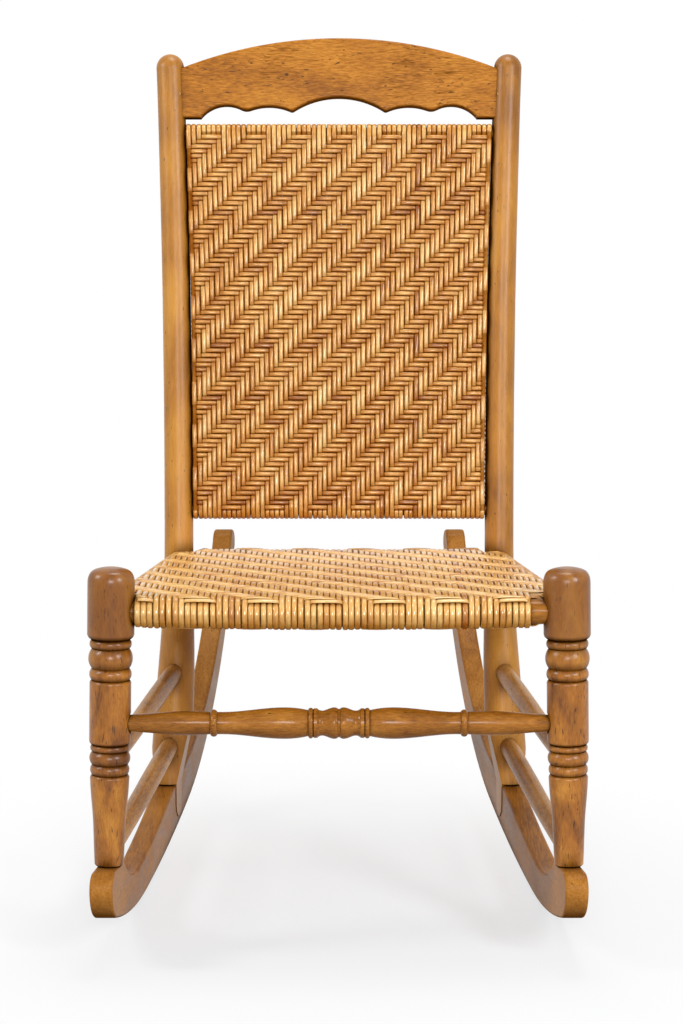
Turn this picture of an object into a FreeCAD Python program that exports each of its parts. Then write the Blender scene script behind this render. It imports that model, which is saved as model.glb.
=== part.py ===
import FreeCAD, Part
import math
import os

# Armless rocking chair with a woven seat and a woven back. Millimetres and degrees.
# Each piece is drawn with the front legs upright: X to the sitter's left, Y to the back, Z up, the front
# legs' feet over Y = 0. The whole chair is then tipped back to how it rests on its rockers.

V = FreeCAD.Vector
os.makedirs("parts", exist_ok=True)

# The chair as a whole
rest_tilt = 10.0              # how far the empty chair leans back on its rockers
back_rake = 8.3               # how far the rear posts lean back from the front legs
seat_depth = 400.0            # from the front legs' axes to the rear posts', at the seat rails
seat_rail_height = 336.0
seat_rear_drop = 5.5          # of the seat rails from the front legs to the rear posts
wood_fit = 0.1                # clearance all round a tenon in its socket
soft_gap = 0.3                # clearance between the weave and the wood it lies on
overrun = 60.0                # how far a cutter runs past what it cuts
round_share = math.sqrt(0.5)  # how far along a rounded shoulder its middle point stands

# Front legs
leg_spread = 482.0            # between the two axes, at the seat rails
leg_foot_spread = 491.0
leg_foot_height = 62.0
leg_head = 47.0               # how far the leg's dome stands above the seat rail's axis
leg_length = seat_rail_height + leg_head - leg_foot_height
leg_foot_radius = 15.5
leg_foot_edge = 1.5
leg_ankle_height = 22.0
leg_ankle_radius = 16.4
leg_calf_height = 54.0
leg_calf_radius = 17.8
leg_shin_height = 84.0
leg_shin_radius = 20.4
lower_beads_height = 99.0
lower_bead_heights = [10.8, 14.3, 7.6]
lower_bead_radii = [20.9, 21.8, 20.9]
lower_groove_radius = 18.7
leg_shaft_radius = 22.1
leg_shoulder = 4.5            # height of the rounded end of each plain length
upper_beads_drop = 73.0       # from the seat rail's axis down to where these beads begin
upper_beads_height = seat_rail_height - upper_beads_drop - leg_foot_height
upper_bead_heights = [12.4, 21.3, 9.9]
upper_bead_radii = [22.5, 23.6, 22.4]
upper_groove_radius = 19.8
leg_top_radius = 25.0
leg_top_shoulder = 7.0
leg_dome_drops = [17.0, 9.5, 4.0, 1.0]
leg_dome_radii = [25.0, 24.0, 20.4, 13.0]
leg_tenon_radius = 7.5
leg_tenon_length = 38.0

# Rear posts, measured up from the seat rails along the posts
post_seat_spread = 380.0
post_top_spread = 402.0
post_foot_spread = 405.0
post_head = 6.5               # how far the dome's centre stands above the ends of the crest's arch
post_drop = 275.0             # down to the level where the foot's spread is given
post_swell_drop = 200.0       # down to where the post has swelled to its foot's radius
post_top_radius = 16.4
post_seat_radius = 17.2
post_foot_radius = 23.2
post_stations_above = 7
post_stations_below = 8

# Rockers
rocker_radius = 2400.0        # of the long flat middle of the sole
rocker_contact_setback = 358.0  # of the place where the sole rests on the floor
rocker_contact_height = 23.3
rocker_thickness = 24.5
rocker_front_radius = 520.0
rocker_front_join = 150.0
rocker_tail_radius = 580.0
rocker_tail_join = 430.0
rocker_tail_end = 800.0
rocker_tip_depth = 33.0
rocker_tip_round = 9.0
pad_back = 23.0
nose_front = -48.0
nose_crown_radius = 18.0
rocker_edge = 3.0
scoop_stations = [48.0, 90.0, 143.0, 205.0, 275.0, 350.0, 430.0, 520.0, 610.0, 710.0]
scoop_depths = [43.0, 37.0, 40.0, 44.0, 49.0, 52.5, 50.5, 46.5, 41.5, 36.5]
foot_station = 350.0          # the one of them nearest the rear post
web_thickness = 10.5          # of the rocker where the rear post's cheeks lap it
cheek_drop = 42.0             # how far the cheeks reach down past the rocker's top edge
cheek_radius = 19.0
flat_height = 56.0            # how far above the rocker the flats on the post's foot run out

# Brads in the rockers
brad_radius = 1.1
brad_length = 17.0
leg_brad_heights = [26.0, 36.0]
leg_brad_setback = 2.0
post_brad_heights = [34.0, 46.0]
post_brad_setback = 3.0

# Stretchers
stretcher_stop = 5.0          # a tenon ends this far short of its socket's axis
side_stretcher_radius = 11.0
side_stretcher_front_radius = 8.8
side_stretcher_rear_radius = 10.2
upper_stretcher_front_height = 172.0
upper_stretcher_rear_height = 207.0
lower_stretcher_front_height = 74.0
lower_stretcher_rear_height = 122.0
rear_stretcher_height = 142.0
rear_stretcher_radius = 9.2
rear_stretcher_end_radius = 8.0

# Front stretcher, half lengths from its middle and radii there
front_stretcher_height = 216.0
middle_groove_half = 0.9
middle_groove_radius = 15.2
bulb_edge = 2.0
bulb_edge_radius = 16.2
bulb_crown = 5.2
bulb_crown_radius = 16.8
cove_middle = 17.6
cove_radius = 13.3
flange_start = 23.2
flange_radius = 15.8
flange_end = 26.6
ring_groove_radius = 14.6
ring_start = 27.4
ring_radius = 16.4
ring_end = 32.7
vase_root_radius = 13.9
vase_crown = 51.0
vase_crown_radius = 16.6
vase_waist = 104.0
vase_waist_radius = 12.9
vase_neck_radius = 11.9
collar_start = 129.0
collar_end = 136.6
collar_radius = 14.5
arm_crown = 148.0
arm_crown_radius = 12.7
arm_middle = 192.0
arm_middle_radius = 11.1
arm_end_radius = 8.7

# Seat rails
front_rail_radius = 13.25
front_rail_tenon_radius = 9.0
front_rail_tenon_length = 19.0
rear_rail_radius = 11.0
rear_rail_tenon_radius = 7.5
rear_rail_tenon_length = 13.0
side_rail_radius = 10.0
side_rail_tenon_radius = 6.5
side_rail_front_tenon = 13.0
side_rail_rear_tenon = 8.5
side_rail_leg_offset = 7.0    # of the side rail's axis inside the front leg's
side_rail_post_offset = 4.5

# Back, heights up from the seat rails along the posts
back_rail_radius = 8.0
back_rail_end_radius = 7.0
back_rail_lower_rise = 59.0
back_rail_upper_rise = 505.0
crest_gap = 10.5              # from the upper rail's top to the crest's lower edge
crest_foot_rise = back_rail_upper_rise + back_rail_radius + crest_gap
crest_height = 95.0
crest_end_drop = 41.0         # of the arched top, from its middle to the posts' axes
post_rise = crest_foot_rise + crest_height - crest_end_drop + post_head
crest_thickness = 20.0
crest_edge = 3.0
crest_flat_end = 164.0
crest_tenon_thickness = 9.0
crest_tenon_foot = 9.0
crest_tenon_height = 38.0
crest_tenon_stop = 5.0
crest_tenon_root = 20.0       # how far a tenon's stock runs back into the board
outer_scallop_middle = 137.5
outer_scallop_height = 14.8
outer_cusp = 110.8
inner_scallop_middle = 82.0
inner_scallop_height = 13.9
inner_cusp = 55.4
cusp_height = 7.6
outer_cusp_rounding = 14.0
inner_cusp_rounding = 4.0
arch_height = 24.6
peg_radius = 2.6
peg_length = 26.0
peg_setback = 10.0            # of the peg's axis inside the post's

# Weave, two crossing strands thick
weave_layer = 3.2
weave_weight_share = 0.25     # of the weight of as much solid wood
seat_edge_radius = 13.0
seat_cavity_edge_radius = 9.5
back_edge_radius = 8.5
back_cavity_edge_radius = 5.5
back_side_gap = 0.8           # between the woven back and the posts
post_notch_gap = 0.6          # between the woven seat and the posts


def lean(shape):
    """Tips a piece of the back, drawn upright, to the posts' rake."""
    shape.rotate(V(0, seat_depth, seat_rail_height), V(1, 0, 0), -back_rake)
    return shape


def leaned_point(x, rise, depth=0):
    """The place of a point of the back, given up the posts from the seat rails."""
    rake = math.radians(back_rake)
    y = seat_depth + rise * math.sin(rake) + depth * math.cos(rake)
    z = seat_rail_height + rise * math.cos(rake) - depth * math.sin(rake)
    return V(x, y, z)


def between(start, end, distance):
    """The point that lies a distance from start on the way to end."""
    way = end.sub(start)
    way.normalize()
    return start.add(way.multiply(distance))


def stand_along(shape, start, end):
    """Moves a shape drawn up the Z axis so that it runs from start towards end."""
    turn = FreeCAD.Rotation(V(0, 0, 1), end.sub(start))
    shape.Placement = FreeCAD.Placement(start, turn)
    return shape


def bar(start, end, radius, grow=0):
    """A plain round bar. grow makes the socket that takes it."""
    length = end.sub(start).Length
    body = Part.makeCylinder(radius + grow, length + 2 * grow, V(0, 0, -grow))
    return stand_along(body, start, end)


def straight(a, b):
    return Part.makeLine(V(a[0], 0, a[1]), V(b[0], 0, b[1]))


def bow(a, b, c):
    return Part.Arc(V(a[0], 0, a[1]), V(b[0], 0, b[1]), V(c[0], 0, c[1])).toShape()


def flow(points, first_way=None, last_way=None):
    """A smooth curve through points, each a pair, with its end directions if they are given."""
    curve = Part.BSplineCurve()
    places = [V(p[0], 0, p[1]) for p in points]
    if first_way and last_way:
        ways = {"InitialTangent": V(first_way[0], 0, first_way[1]),
                "FinalTangent": V(last_way[0], 0, last_way[1])}
        curve.interpolate(Points=places, **ways)
    else:
        curve.interpolate(Points=places)
    return curve.toShape()


def shoulder(outer, inner):
    """A rounded shoulder between a plain length's radius and a groove."""
    middle = (inner[0] + (outer[0] - inner[0]) * round_share, outer[1] + (inner[1] - outer[1]) * round_share)
    return bow(outer, middle, inner)


def turned(edges):
    """A turned solid from the edges of its outline, whose ends lie on the Z axis."""
    face = Part.Face(Part.Wire(Part.__sortEdges__(edges)))
    return face.revolve(V(0, 0, 0), V(0, 0, 1), 360)


def bead_run(base, heights, radii, groove):
    """Beads one above the other, each an arc between two grooves."""
    edges = []
    level = base
    for height, radius in zip(heights, radii):
        edges.append(bow((groove, level), (radius, level + height / 2), (groove, level + height)))
        level += height
    return edges, level


def side_sign(side):
    return -1 if side == "left" else 1


def leg_foot(side):
    return V(side_sign(side) * leg_foot_spread / 2, 0, leg_foot_height)


def leg_point(side, height):
    """A point on a front leg's axis at a height."""
    share = (height - leg_foot_height) / (seat_rail_height - leg_foot_height)
    x = leg_foot_spread / 2 + (leg_spread - leg_foot_spread) / 2 * share
    return V(side_sign(side) * x, 0, height)


def post_half_spread(rise):
    """Half the distance between the rear posts' axes. They bow outwards above and below the seat."""
    if rise >= 0:
        return (post_seat_spread + (post_top_spread - post_seat_spread) * (rise / post_rise) ** 2) / 2
    share = min(1, -rise / post_drop)
    return (post_seat_spread + (post_foot_spread - post_seat_spread) * share ** 2) / 2


def post_radius(rise):
    if rise >= 0:
        return post_seat_radius + (post_top_radius - post_seat_radius) * rise / post_rise
    share = min(1, -rise / post_swell_drop)
    return post_seat_radius + (post_foot_radius - post_seat_radius) * share ** 2 * (3 - 2 * share)


def post_point(side, rise):
    return leaned_point(side_sign(side) * post_half_spread(rise), rise)


def post_at_height(side, height):
    """The point of a rear post's axis at a height below the seat."""
    return post_point(side, (height - seat_rail_height) / math.cos(math.radians(back_rake)))


def front_leg_body():
    """The turned leg, its foot on the origin."""
    foot_edge = (leg_foot_radius, leg_foot_edge)
    foot_inner = (leg_foot_radius - leg_foot_edge, 0)
    shin_top = (lower_bead_radii[0], lower_beads_height - leg_shoulder)
    edges = [straight((0, 0), foot_inner), straight(foot_inner, foot_edge)]
    edges.append(flow([foot_edge, (leg_ankle_radius, leg_ankle_height), (leg_calf_radius, leg_calf_height),
                       (leg_shin_radius, leg_shin_height), shin_top]))
    edges.append(shoulder(shin_top, (lower_groove_radius, lower_beads_height)))
    beads, level = bead_run(lower_beads_height, lower_bead_heights, lower_bead_radii, lower_groove_radius)
    edges += beads
    shaft_foot = (leg_shaft_radius, level + leg_shoulder)
    shaft_top = (leg_shaft_radius, upper_beads_height - leg_shoulder)
    edges.append(shoulder(shaft_foot, (lower_groove_radius, level)))
    edges.append(straight(shaft_foot, shaft_top))
    edges.append(shoulder(shaft_top, (upper_groove_radius, upper_beads_height)))
    beads, level = bead_run(upper_beads_height, upper_bead_heights, upper_bead_radii, upper_groove_radius)
    edges += beads
    head_foot = (leg_top_radius, level + leg_top_shoulder)
    edges.append(shoulder(head_foot, (upper_groove_radius, level)))
    dome = [(radius, leg_length - drop) for radius, drop in zip(leg_dome_radii, leg_dome_drops)]
    edges.append(straight(head_foot, dome[0]))
    edges.append(flow(dome + [(0, leg_length)], (0, 1), (-1, 0)))
    edges.append(straight((0, leg_length), (0, 0)))
    return turned(edges)


def leg_tenon(side, grow=0):
    foot = leg_foot(side)
    tip = between(foot, leg_point(side, seat_rail_height), -leg_tenon_length)
    return bar(tip, between(foot, tip, -leg_foot_edge), leg_tenon_radius, grow)


def sole_arc(y):
    """Centre and radius of the arc that the sole follows at a place along the rocker."""
    tilt = math.radians(rest_tilt)
    centre_y = rocker_contact_setback - rocker_radius * math.sin(tilt)
    centre_z = rocker_contact_height + rocker_radius * math.cos(tilt)
    for radius, join, past in ((rocker_front_radius, rocker_front_join, y < rocker_front_join),
                               (rocker_tail_radius, rocker_tail_join, y > rocker_tail_join)):
        if past:
            sine = (join - centre_y) / rocker_radius
            inward = rocker_radius - radius
            return centre_y + inward * sine, centre_z - inward * math.sqrt(1 - sine ** 2), radius
    return centre_y, centre_z, rocker_radius


def sole_point(y):
    """Height of the rocker's sole at a place along it, and the sine of its slope there."""
    centre_y, centre_z, radius = sole_arc(y)
    sine = (y - centre_y) / radius
    return centre_z - radius * math.sqrt(1 - sine ** 2), sine


def sole_mark(y):
    return (y, sole_point(y)[0])


def rocker_top(y, depth):
    """The point of the rocker's top edge that lies square across from a place on the sole."""
    height, sine = sole_point(y)
    return (y - depth * sine, height + depth * math.sqrt(1 - sine ** 2))


def circle_point(centre, radius, angle):
    """A point on a circle, the angle in degrees up from the way to the back."""
    turn = math.radians(angle)
    return centre[0] + radius * math.cos(turn), centre[1] + radius * math.sin(turn)


def nose_edges():
    """The nose in two arcs, from the pad's front end round to where it runs into the sole."""
    crown = (nose_front + nose_crown_radius, leg_foot_height - nose_crown_radius)
    sole_y, sole_z, sole_radius = sole_arc(0)
    ahead = sole_y - nose_front
    above = sole_z - crown[1]
    chin_radius = (sole_radius ** 2 - ahead ** 2 - above ** 2) / (2 * (sole_radius - ahead))
    chin = (nose_front + chin_radius, crown[1])
    down = math.degrees(math.atan2(chin[1] - sole_z, chin[0] - sole_y)) % 360
    top = circle_point(crown, nose_crown_radius, 90)
    front = circle_point(crown, nose_crown_radius, 180)
    heel = circle_point(chin, chin_radius, down)
    arcs = [bow(top, circle_point(crown, nose_crown_radius, 135), front),
            bow(front, circle_point(chin, chin_radius, (180 + down) / 2), heel)]
    return arcs, top, heel


def rocker_outline():
    """The rocker's side face, from the nose round the sole to the tail and back over the top."""
    edges, pad_front, heel = nose_edges()
    marks = [heel[0], rocker_front_join, rocker_tail_join, rocker_tail_end]
    for start, end in zip(marks, marks[1:]):
        edges.append(bow(sole_mark(start), sole_mark((start + end) / 2), sole_mark(end)))
    tip_sole = sole_mark(rocker_tail_end)
    tip_top = rocker_top(rocker_tail_end, rocker_tip_depth)
    tip_back = (tip_sole[0] + rocker_tip_round / 2, (tip_sole[1] + tip_top[1]) / 2 + rocker_tip_round / 2)
    top = [rocker_top(y, depth) for y, depth in zip(scoop_stations, scoop_depths)]
    pad_end = (pad_back, leg_foot_height)
    edges.append(bow(tip_sole, tip_back, tip_top))
    edges.append(flow([tip_top] + top[::-1] + [pad_end]))
    edges.append(straight(pad_end, pad_front))
    return Part.Face(Part.Wire(Part.__sortEdges__(edges)))


def rocker_line(side):
    """A point on the rocker's middle plane, the way along it and the way square to it, towards the middle."""
    start = leg_foot(side)
    foot = post_point(side, -post_drop)
    along = V(foot.x - start.x, foot.y - start.y, 0)
    along.normalize()
    inward = V(along.y, -along.x, 0) if side == "left" else V(-along.y, along.x, 0)
    return start, along, inward


def rocker_slab(side, thickness):
    """The upright slab that a rocker of this thickness lies in."""
    start, along, inward = rocker_line(side)
    reach = rocker_tail_end + overrun
    tall = post_rise
    slab = Part.makeBox(2 * reach, thickness, 2 * tall, V(-reach, -thickness / 2, -tall))
    turn = FreeCAD.Rotation(V(1, 0, 0), along)
    slab.Placement = FreeCAD.Placement(start, turn)
    return slab


def rocker_board(side, thickness, lift=0):
    """The rocker before its joints are cut. Its sole is one round cylinder across the chair."""
    face = rocker_outline()
    face.rotate(V(0, 0, 0), V(0, 0, 1), 90)
    width = leg_foot_spread + overrun
    board = face.extrude(V(-width, 0, 0))
    board.translate(V(width / 2, 0, lift))
    return board.common(rocker_slab(side, thickness))


def foot_middle_point(side):
    """Where the post's axis meets the rocker's top edge, to the nearest scoop depth."""
    rise = -post_drop
    depth = min(zip(scoop_stations, scoop_depths), key=lambda station: abs(station[0] - foot_station))[1]
    for step in range(post_stations_below):
        place = post_point(side, rise)
        top = rocker_top(place.y, depth)[1]
        rise += (top - place.z) / math.cos(math.radians(back_rake))
    return post_point(side, rise), rise


def cheek_stock(side, grow=0):
    """The rounded foot of the post where it laps the rocker, before the rocker's web is taken out."""
    middle, rise = foot_middle_point(side)
    start, along, inward = rocker_line(side)
    centre = V(middle.x, middle.y, middle.z - cheek_drop + cheek_radius)
    near = centre.add(V(inward).multiply(-overrun / 2))
    round_end = bar(near, centre.add(V(inward).multiply(overrun / 2)), cheek_radius, grow)
    width = 2 * (cheek_radius + grow)
    neck = Part.makeBox(width, overrun, overrun, V(-width / 2, -overrun / 2, 0))
    neck.Placement = FreeCAD.Placement(centre, FreeCAD.Rotation(V(1, 0, 0), along))
    return round_end.fuse(neck)


def foot_flats(side):
    """Cutters that pare the post's foot to the rocker's thickness and run out above it."""
    middle, rise = foot_middle_point(side)
    start, along, inward = rocker_line(side)
    half = rocker_thickness / 2
    low = -cheek_drop - overrun
    cutters = []
    for way in (-1, 1):
        points = [V(0, way * half, low), V(0, way * half, 0), V(0, way * (post_foot_radius + wood_fit), flat_height),
                  V(0, way * overrun, flat_height), V(0, way * overrun, low)]
        face = Part.Face(Part.makePolygon(points + points[:1]))
        cutter = face.extrude(V(2 * overrun, 0, 0))
        cutter.translate(V(-overrun, 0, 0))
        turn = FreeCAD.Rotation(V(1, 0, 0), along)
        cutter.Placement = FreeCAD.Placement(middle, turn).multiply(cutter.Placement)
        cutters.append(cutter)
    return cutters


def post_body(side):
    """The bent round post, from below the rocker's top edge to its domed top."""
    middle, foot_rise = foot_middle_point(side)
    lowest = foot_rise - cheek_drop - post_foot_radius / 2
    highest = post_rise
    rises = [lowest * (1 - i / post_stations_below) for i in range(post_stations_below)]
    rises += [highest * i / (post_stations_above - 1) for i in range(post_stations_above)]
    wires = []
    for rise in rises:
        direction = post_point(side, rise + post_seat_radius).sub(post_point(side, rise - post_seat_radius))
        circle = Part.makeCircle(post_radius(rise))
        circle.Placement = FreeCAD.Placement(post_point(side, rise), FreeCAD.Rotation(V(0, 0, 1), direction))
        wires.append(Part.Wire(circle))
    body = Part.makeLoft(wires, True, False, False)
    dome = Part.makeSphere(post_top_radius, post_point(side, post_rise))
    return body.fuse(dome).removeSplitter()


def rocker_cheeks(side, grow=0):
    """What the post's two cheeks take out of the rocker's sides."""
    web = rocker_slab(side, web_thickness + 2 * (wood_fit - grow))
    return cheek_stock(side, grow).cut(web)


def leg_brads(side, grow=0):
    start, along, inward = rocker_line(side)
    brads = []
    for height in leg_brad_heights:
        face = V(start.x, start.y + leg_brad_setback, height).add(V(inward).multiply(rocker_thickness / 2))
        brads.append(bar(face.add(V(inward).multiply(-brad_length)), face, brad_radius, grow))
    return brads


def post_brads(side, grow=0):
    middle, rise = foot_middle_point(side)
    start, along, inward = rocker_line(side)
    brads = []
    for height in post_brad_heights:
        place = V(middle.x, middle.y, height).add(V(along).multiply(post_brad_setback))
        face = place.add(V(inward).multiply(rocker_thickness / 2))
        brads.append(bar(face.add(V(inward).multiply(-brad_length)), face, brad_radius, grow))
    return brads


def swelled_rung(start, end, middle_radius, start_radius, end_radius, grow=0):
    """A rung that swells a little to its middle. grow makes the socket that takes it."""
    length = end.sub(start).Length
    low = (start_radius + grow, -grow)
    high = (end_radius + grow, length + grow)
    edges = [straight((0, -grow), low), bow(low, (middle_radius + grow, length / 2), high),
             straight(high, (0, length + grow)), straight((0, length + grow), (0, -grow))]
    return stand_along(turned(edges), start, end)


def side_stretcher(side, level, grow=0):
    front_height = {"upper": upper_stretcher_front_height, "lower": lower_stretcher_front_height}[level]
    rear_height = {"upper": upper_stretcher_rear_height, "lower": lower_stretcher_rear_height}[level]
    leg_axis = leg_point(side, front_height)
    post_axis = post_at_height(side, rear_height)
    start = between(leg_axis, post_axis, stretcher_stop)
    end = between(post_axis, leg_axis, stretcher_stop)
    return swelled_rung(start, end, side_stretcher_radius, side_stretcher_front_radius,
                        side_stretcher_rear_radius, grow)


def rear_stretcher(grow=0):
    left = post_at_height("left", rear_stretcher_height)
    right = post_at_height("right", rear_stretcher_height)
    start = between(left, right, stretcher_stop)
    end = between(right, left, stretcher_stop)
    return swelled_rung(start, end, rear_stretcher_radius, rear_stretcher_end_radius, rear_stretcher_end_radius,
                        grow)


def front_stretcher_half(grow=0):
    """Outline of half the front stretcher, from its middle out, as edges and the point it ends on."""
    half = leg_point("right", front_stretcher_height).x - stretcher_stop
    edges = [straight((0, 0), (middle_groove_radius, 0)),
             straight((middle_groove_radius, 0), (middle_groove_radius, middle_groove_half)),
             straight((middle_groove_radius, middle_groove_half), (bulb_edge_radius, bulb_edge))]
    edges.append(flow([(bulb_edge_radius, bulb_edge), (bulb_crown_radius, bulb_crown),
                       (cove_radius, cove_middle), (flange_radius, flange_start)]))
    edges.append(straight((flange_radius, flange_start), (flange_radius, flange_end)))
    edges.append(straight((flange_radius, flange_end), (ring_groove_radius, ring_start)))
    edges.append(bow((ring_groove_radius, ring_start), (ring_radius, (ring_start + ring_end) / 2),
                     (vase_root_radius, ring_end)))
    edges.append(flow([(vase_root_radius, ring_end), (vase_crown_radius, vase_crown),
                       (vase_waist_radius, vase_waist), (vase_neck_radius, collar_start)]))
    edges.append(bow((vase_neck_radius, collar_start), (collar_radius, (collar_start + collar_end) / 2),
                     (vase_neck_radius, collar_end)))
    tip = (arm_end_radius, half)
    edges.append(flow([(vase_neck_radius, collar_end), (arm_crown_radius, arm_crown),
                       (arm_middle_radius, arm_middle), tip]))
    edges.append(straight(tip, (0, half)))
    edges.append(straight((0, half), (0, 0)))
    return edges, half


def front_stretcher():
    """Two turned halves about the middle groove."""
    edges, half = front_stretcher_half()
    right = turned(edges)
    left = right.mirror(V(0, 0, 0), V(0, 0, 1))
    whole = right.fuse(left).removeSplitter()
    return stand_along(whole, V(0, 0, front_stretcher_height), V(half, 0, front_stretcher_height))


def front_stretcher_socket():
    """The round hole in both legs that the front stretcher's tapered ends sit in."""
    half = leg_point("right", front_stretcher_height).x - stretcher_stop
    ends = [V(way * half, 0, front_stretcher_height) for way in (-1, 1)]
    return bar(ends[0], ends[1], arm_middle_radius, wood_fit)


def leg_column(side, gap=0):
    """A plain column round the head of a front leg, to cut what butts against the leg."""
    return bar(leg_point(side, upper_stretcher_front_height), leg_point(side, leg_foot_height + leg_length),
               leg_top_radius + gap)


def post_column(side, low_rise, high_rise, gap=0):
    """A plain column round a stretch of a rear post, to cut what butts against the post."""
    middle_radius = post_radius((low_rise + high_rise) / 2)
    return bar(post_point(side, low_rise), post_point(side, high_rise), middle_radius + gap)


def rail(start, end, radius, tenon_radius, start_tenon, end_tenon, columns):
    """A round rail whose shoulders are scribed to the posts it meets, with a tenon in each."""
    body = bar(start, end, radius)
    for column in columns:
        body = body.cut(column)
    return body.fuse(bar(start_tenon, end_tenon, tenon_radius)).removeSplitter()


def front_rail_ends():
    left = leg_point("left", seat_rail_height)
    right = leg_point("right", seat_rail_height)
    inset = leg_top_radius - front_rail_tenon_length
    return between(left, right, inset), between(right, left, inset)


def front_seat_rail():
    start, end = front_rail_ends()
    columns = [leg_column(side, wood_fit) for side in ("left", "right")]
    return rail(leg_point("left", seat_rail_height), leg_point("right", seat_rail_height), front_rail_radius,
                front_rail_tenon_radius, start, end, columns)


def rear_rail_rise():
    """Where the rear rail crosses the posts, so that its top carries the seat's slope on."""
    return front_rail_radius - rear_rail_radius - seat_rear_drop


def rear_rail_ends():
    rise = rear_rail_rise()
    left = post_point("left", rise)
    right = post_point("right", rise)
    inset = post_seat_radius - rear_rail_tenon_length
    return between(left, right, inset), between(right, left, inset)


def rear_seat_rail():
    start, end = rear_rail_ends()
    rise = rear_rail_rise()
    columns = [post_column(side, -overrun, overrun, wood_fit) for side in ("left", "right")]
    return rail(post_point("left", rise), post_point("right", rise), rear_rail_radius, rear_rail_tenon_radius,
                start, end, columns)


def side_rail_axis(side):
    """The two points that a side rail's axis runs between, over the leg's and the post's axes."""
    height = seat_rail_height + front_rail_radius - side_rail_radius
    leg = leg_point(side, height)
    post = post_point(side, height - seat_rear_drop - seat_rail_height)
    sign = side_sign(side)
    start = V(leg.x - sign * side_rail_leg_offset, leg.y, height)
    end = V(post.x - sign * side_rail_post_offset, post.y, height - seat_rear_drop)
    return start, end


def side_rail_ends(side):
    start, end = side_rail_axis(side)
    front_inset = leg_top_radius - side_rail_front_tenon
    rear_inset = post_seat_radius - side_rail_rear_tenon
    return between(start, end, front_inset), between(end, start, rear_inset)


def side_seat_rail(side):
    start, end = side_rail_axis(side)
    front, rear = side_rail_ends(side)
    columns = [leg_column(side, wood_fit), post_column(side, -overrun, overrun, wood_fit)]
    return rail(start, end, side_rail_radius, side_rail_tenon_radius, front, rear, columns)


def back_rail(rise, grow=0):
    left = post_point("left", rise)
    right = post_point("right", rise)
    start = between(left, right, stretcher_stop)
    end = between(right, left, stretcher_stop)
    return swelled_rung(start, end, back_rail_radius, back_rail_end_radius, back_rail_end_radius, grow)


def crest_outline():
    """The crest's face, drawn upright on the seat rails: arched above, scalloped below."""
    foot = seat_rail_height + crest_foot_rise
    apex = foot + crest_height
    half = post_half_spread(crest_foot_rise + crest_height / 2)
    corner = apex - crest_end_drop
    edges = [bow((-half, corner), (0, apex), (half, corner)),
             bow((-inner_cusp, foot + cusp_height), (0, foot + arch_height), (inner_cusp, foot + cusp_height))]
    for way in (-1, 1):
        end = (way * half, foot)
        flat = (way * crest_flat_end, foot)
        outer = (way * outer_cusp, foot + cusp_height)
        inner = (way * inner_cusp, foot + cusp_height)
        edges += [straight((way * half, corner), end), straight(end, flat),
                  bow(flat, (way * outer_scallop_middle, foot + outer_scallop_height), outer),
                  bow(outer, (way * inner_scallop_middle, foot + inner_scallop_height), inner)]
    return Part.Face(Part.Wire(Part.__sortEdges__(edges)))


def crest_tenon(side, grow=0):
    """One tenon of the crest rail with its root in the board, leaned to the posts."""
    half = post_half_spread(crest_foot_rise)
    tip = half - crest_tenon_stop + grow
    root = half - post_top_radius - crest_tenon_root
    thick = crest_tenon_thickness + 2 * grow
    tall = crest_tenon_height + 2 * grow
    low = seat_rail_height + crest_foot_rise + crest_tenon_foot - grow
    start = {"left": -tip, "right": root}[side]
    return lean(Part.makeBox(tip - root, thick, tall, V(start, seat_depth - thick / 2, low)))


def round_cusps(board, distance, rounding):
    """Rounds the two cusps of the crest's lower edge that stand this far from its middle."""
    lines = [edge for edge in board.Edges if max(edge.BoundBox.XLength, edge.BoundBox.ZLength) < wood_fit
             and abs(abs(edge.CenterOfMass.x) - distance) < wood_fit]
    return board.makeFillet(rounding, lines)


def crest_rail():
    face = crest_outline()
    board = face.extrude(V(0, crest_thickness, 0))
    board.translate(V(0, seat_depth - crest_thickness / 2, 0))
    board = round_cusps(board, outer_cusp, outer_cusp_rounding)
    board = round_cusps(board, inner_cusp, inner_cusp_rounding)
    rims = [edge for edge in board.Edges if edge.BoundBox.YLength < wood_fit
            and edge.BoundBox.XLength > crest_thickness]
    board = lean(board.makeFillet(crest_edge, rims))
    for side in ("left", "right"):
        board = board.cut(post_column(side, crest_foot_rise - overrun / 2, post_rise, wood_fit))
    return board.fuse([crest_tenon(side) for side in ("left", "right")]).removeSplitter()


def crest_pegs(grow=0):
    """Pegs driven in from the backs of the posts, through the crest's tenons."""
    rise = crest_foot_rise + crest_tenon_foot + crest_tenon_height / 2
    pegs = []
    for side in ("left", "right"):
        x = side_sign(side) * (post_half_spread(rise) - peg_setback)
        reach = math.sqrt(post_radius(rise) ** 2 - peg_setback ** 2)
        outer = leaned_point(x, rise, reach)
        pegs.append(bar(leaned_point(x, rise, reach - peg_length), outer, peg_radius, grow))
    return pegs


def trapezoid(front_half, rear_half, front, rear, low, high):
    """A slab with level faces, narrower at the back than at the front."""
    points = [V(-front_half, front, low), V(front_half, front, low), V(rear_half, rear, low),
              V(-rear_half, rear, low)]
    face = Part.Face(Part.makePolygon(points + points[:1]))
    return face.extrude(V(0, 0, high - low))


def level_edges(shape):
    return [edge for edge in shape.Edges if edge.BoundBox.ZLength < wood_fit]


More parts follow.
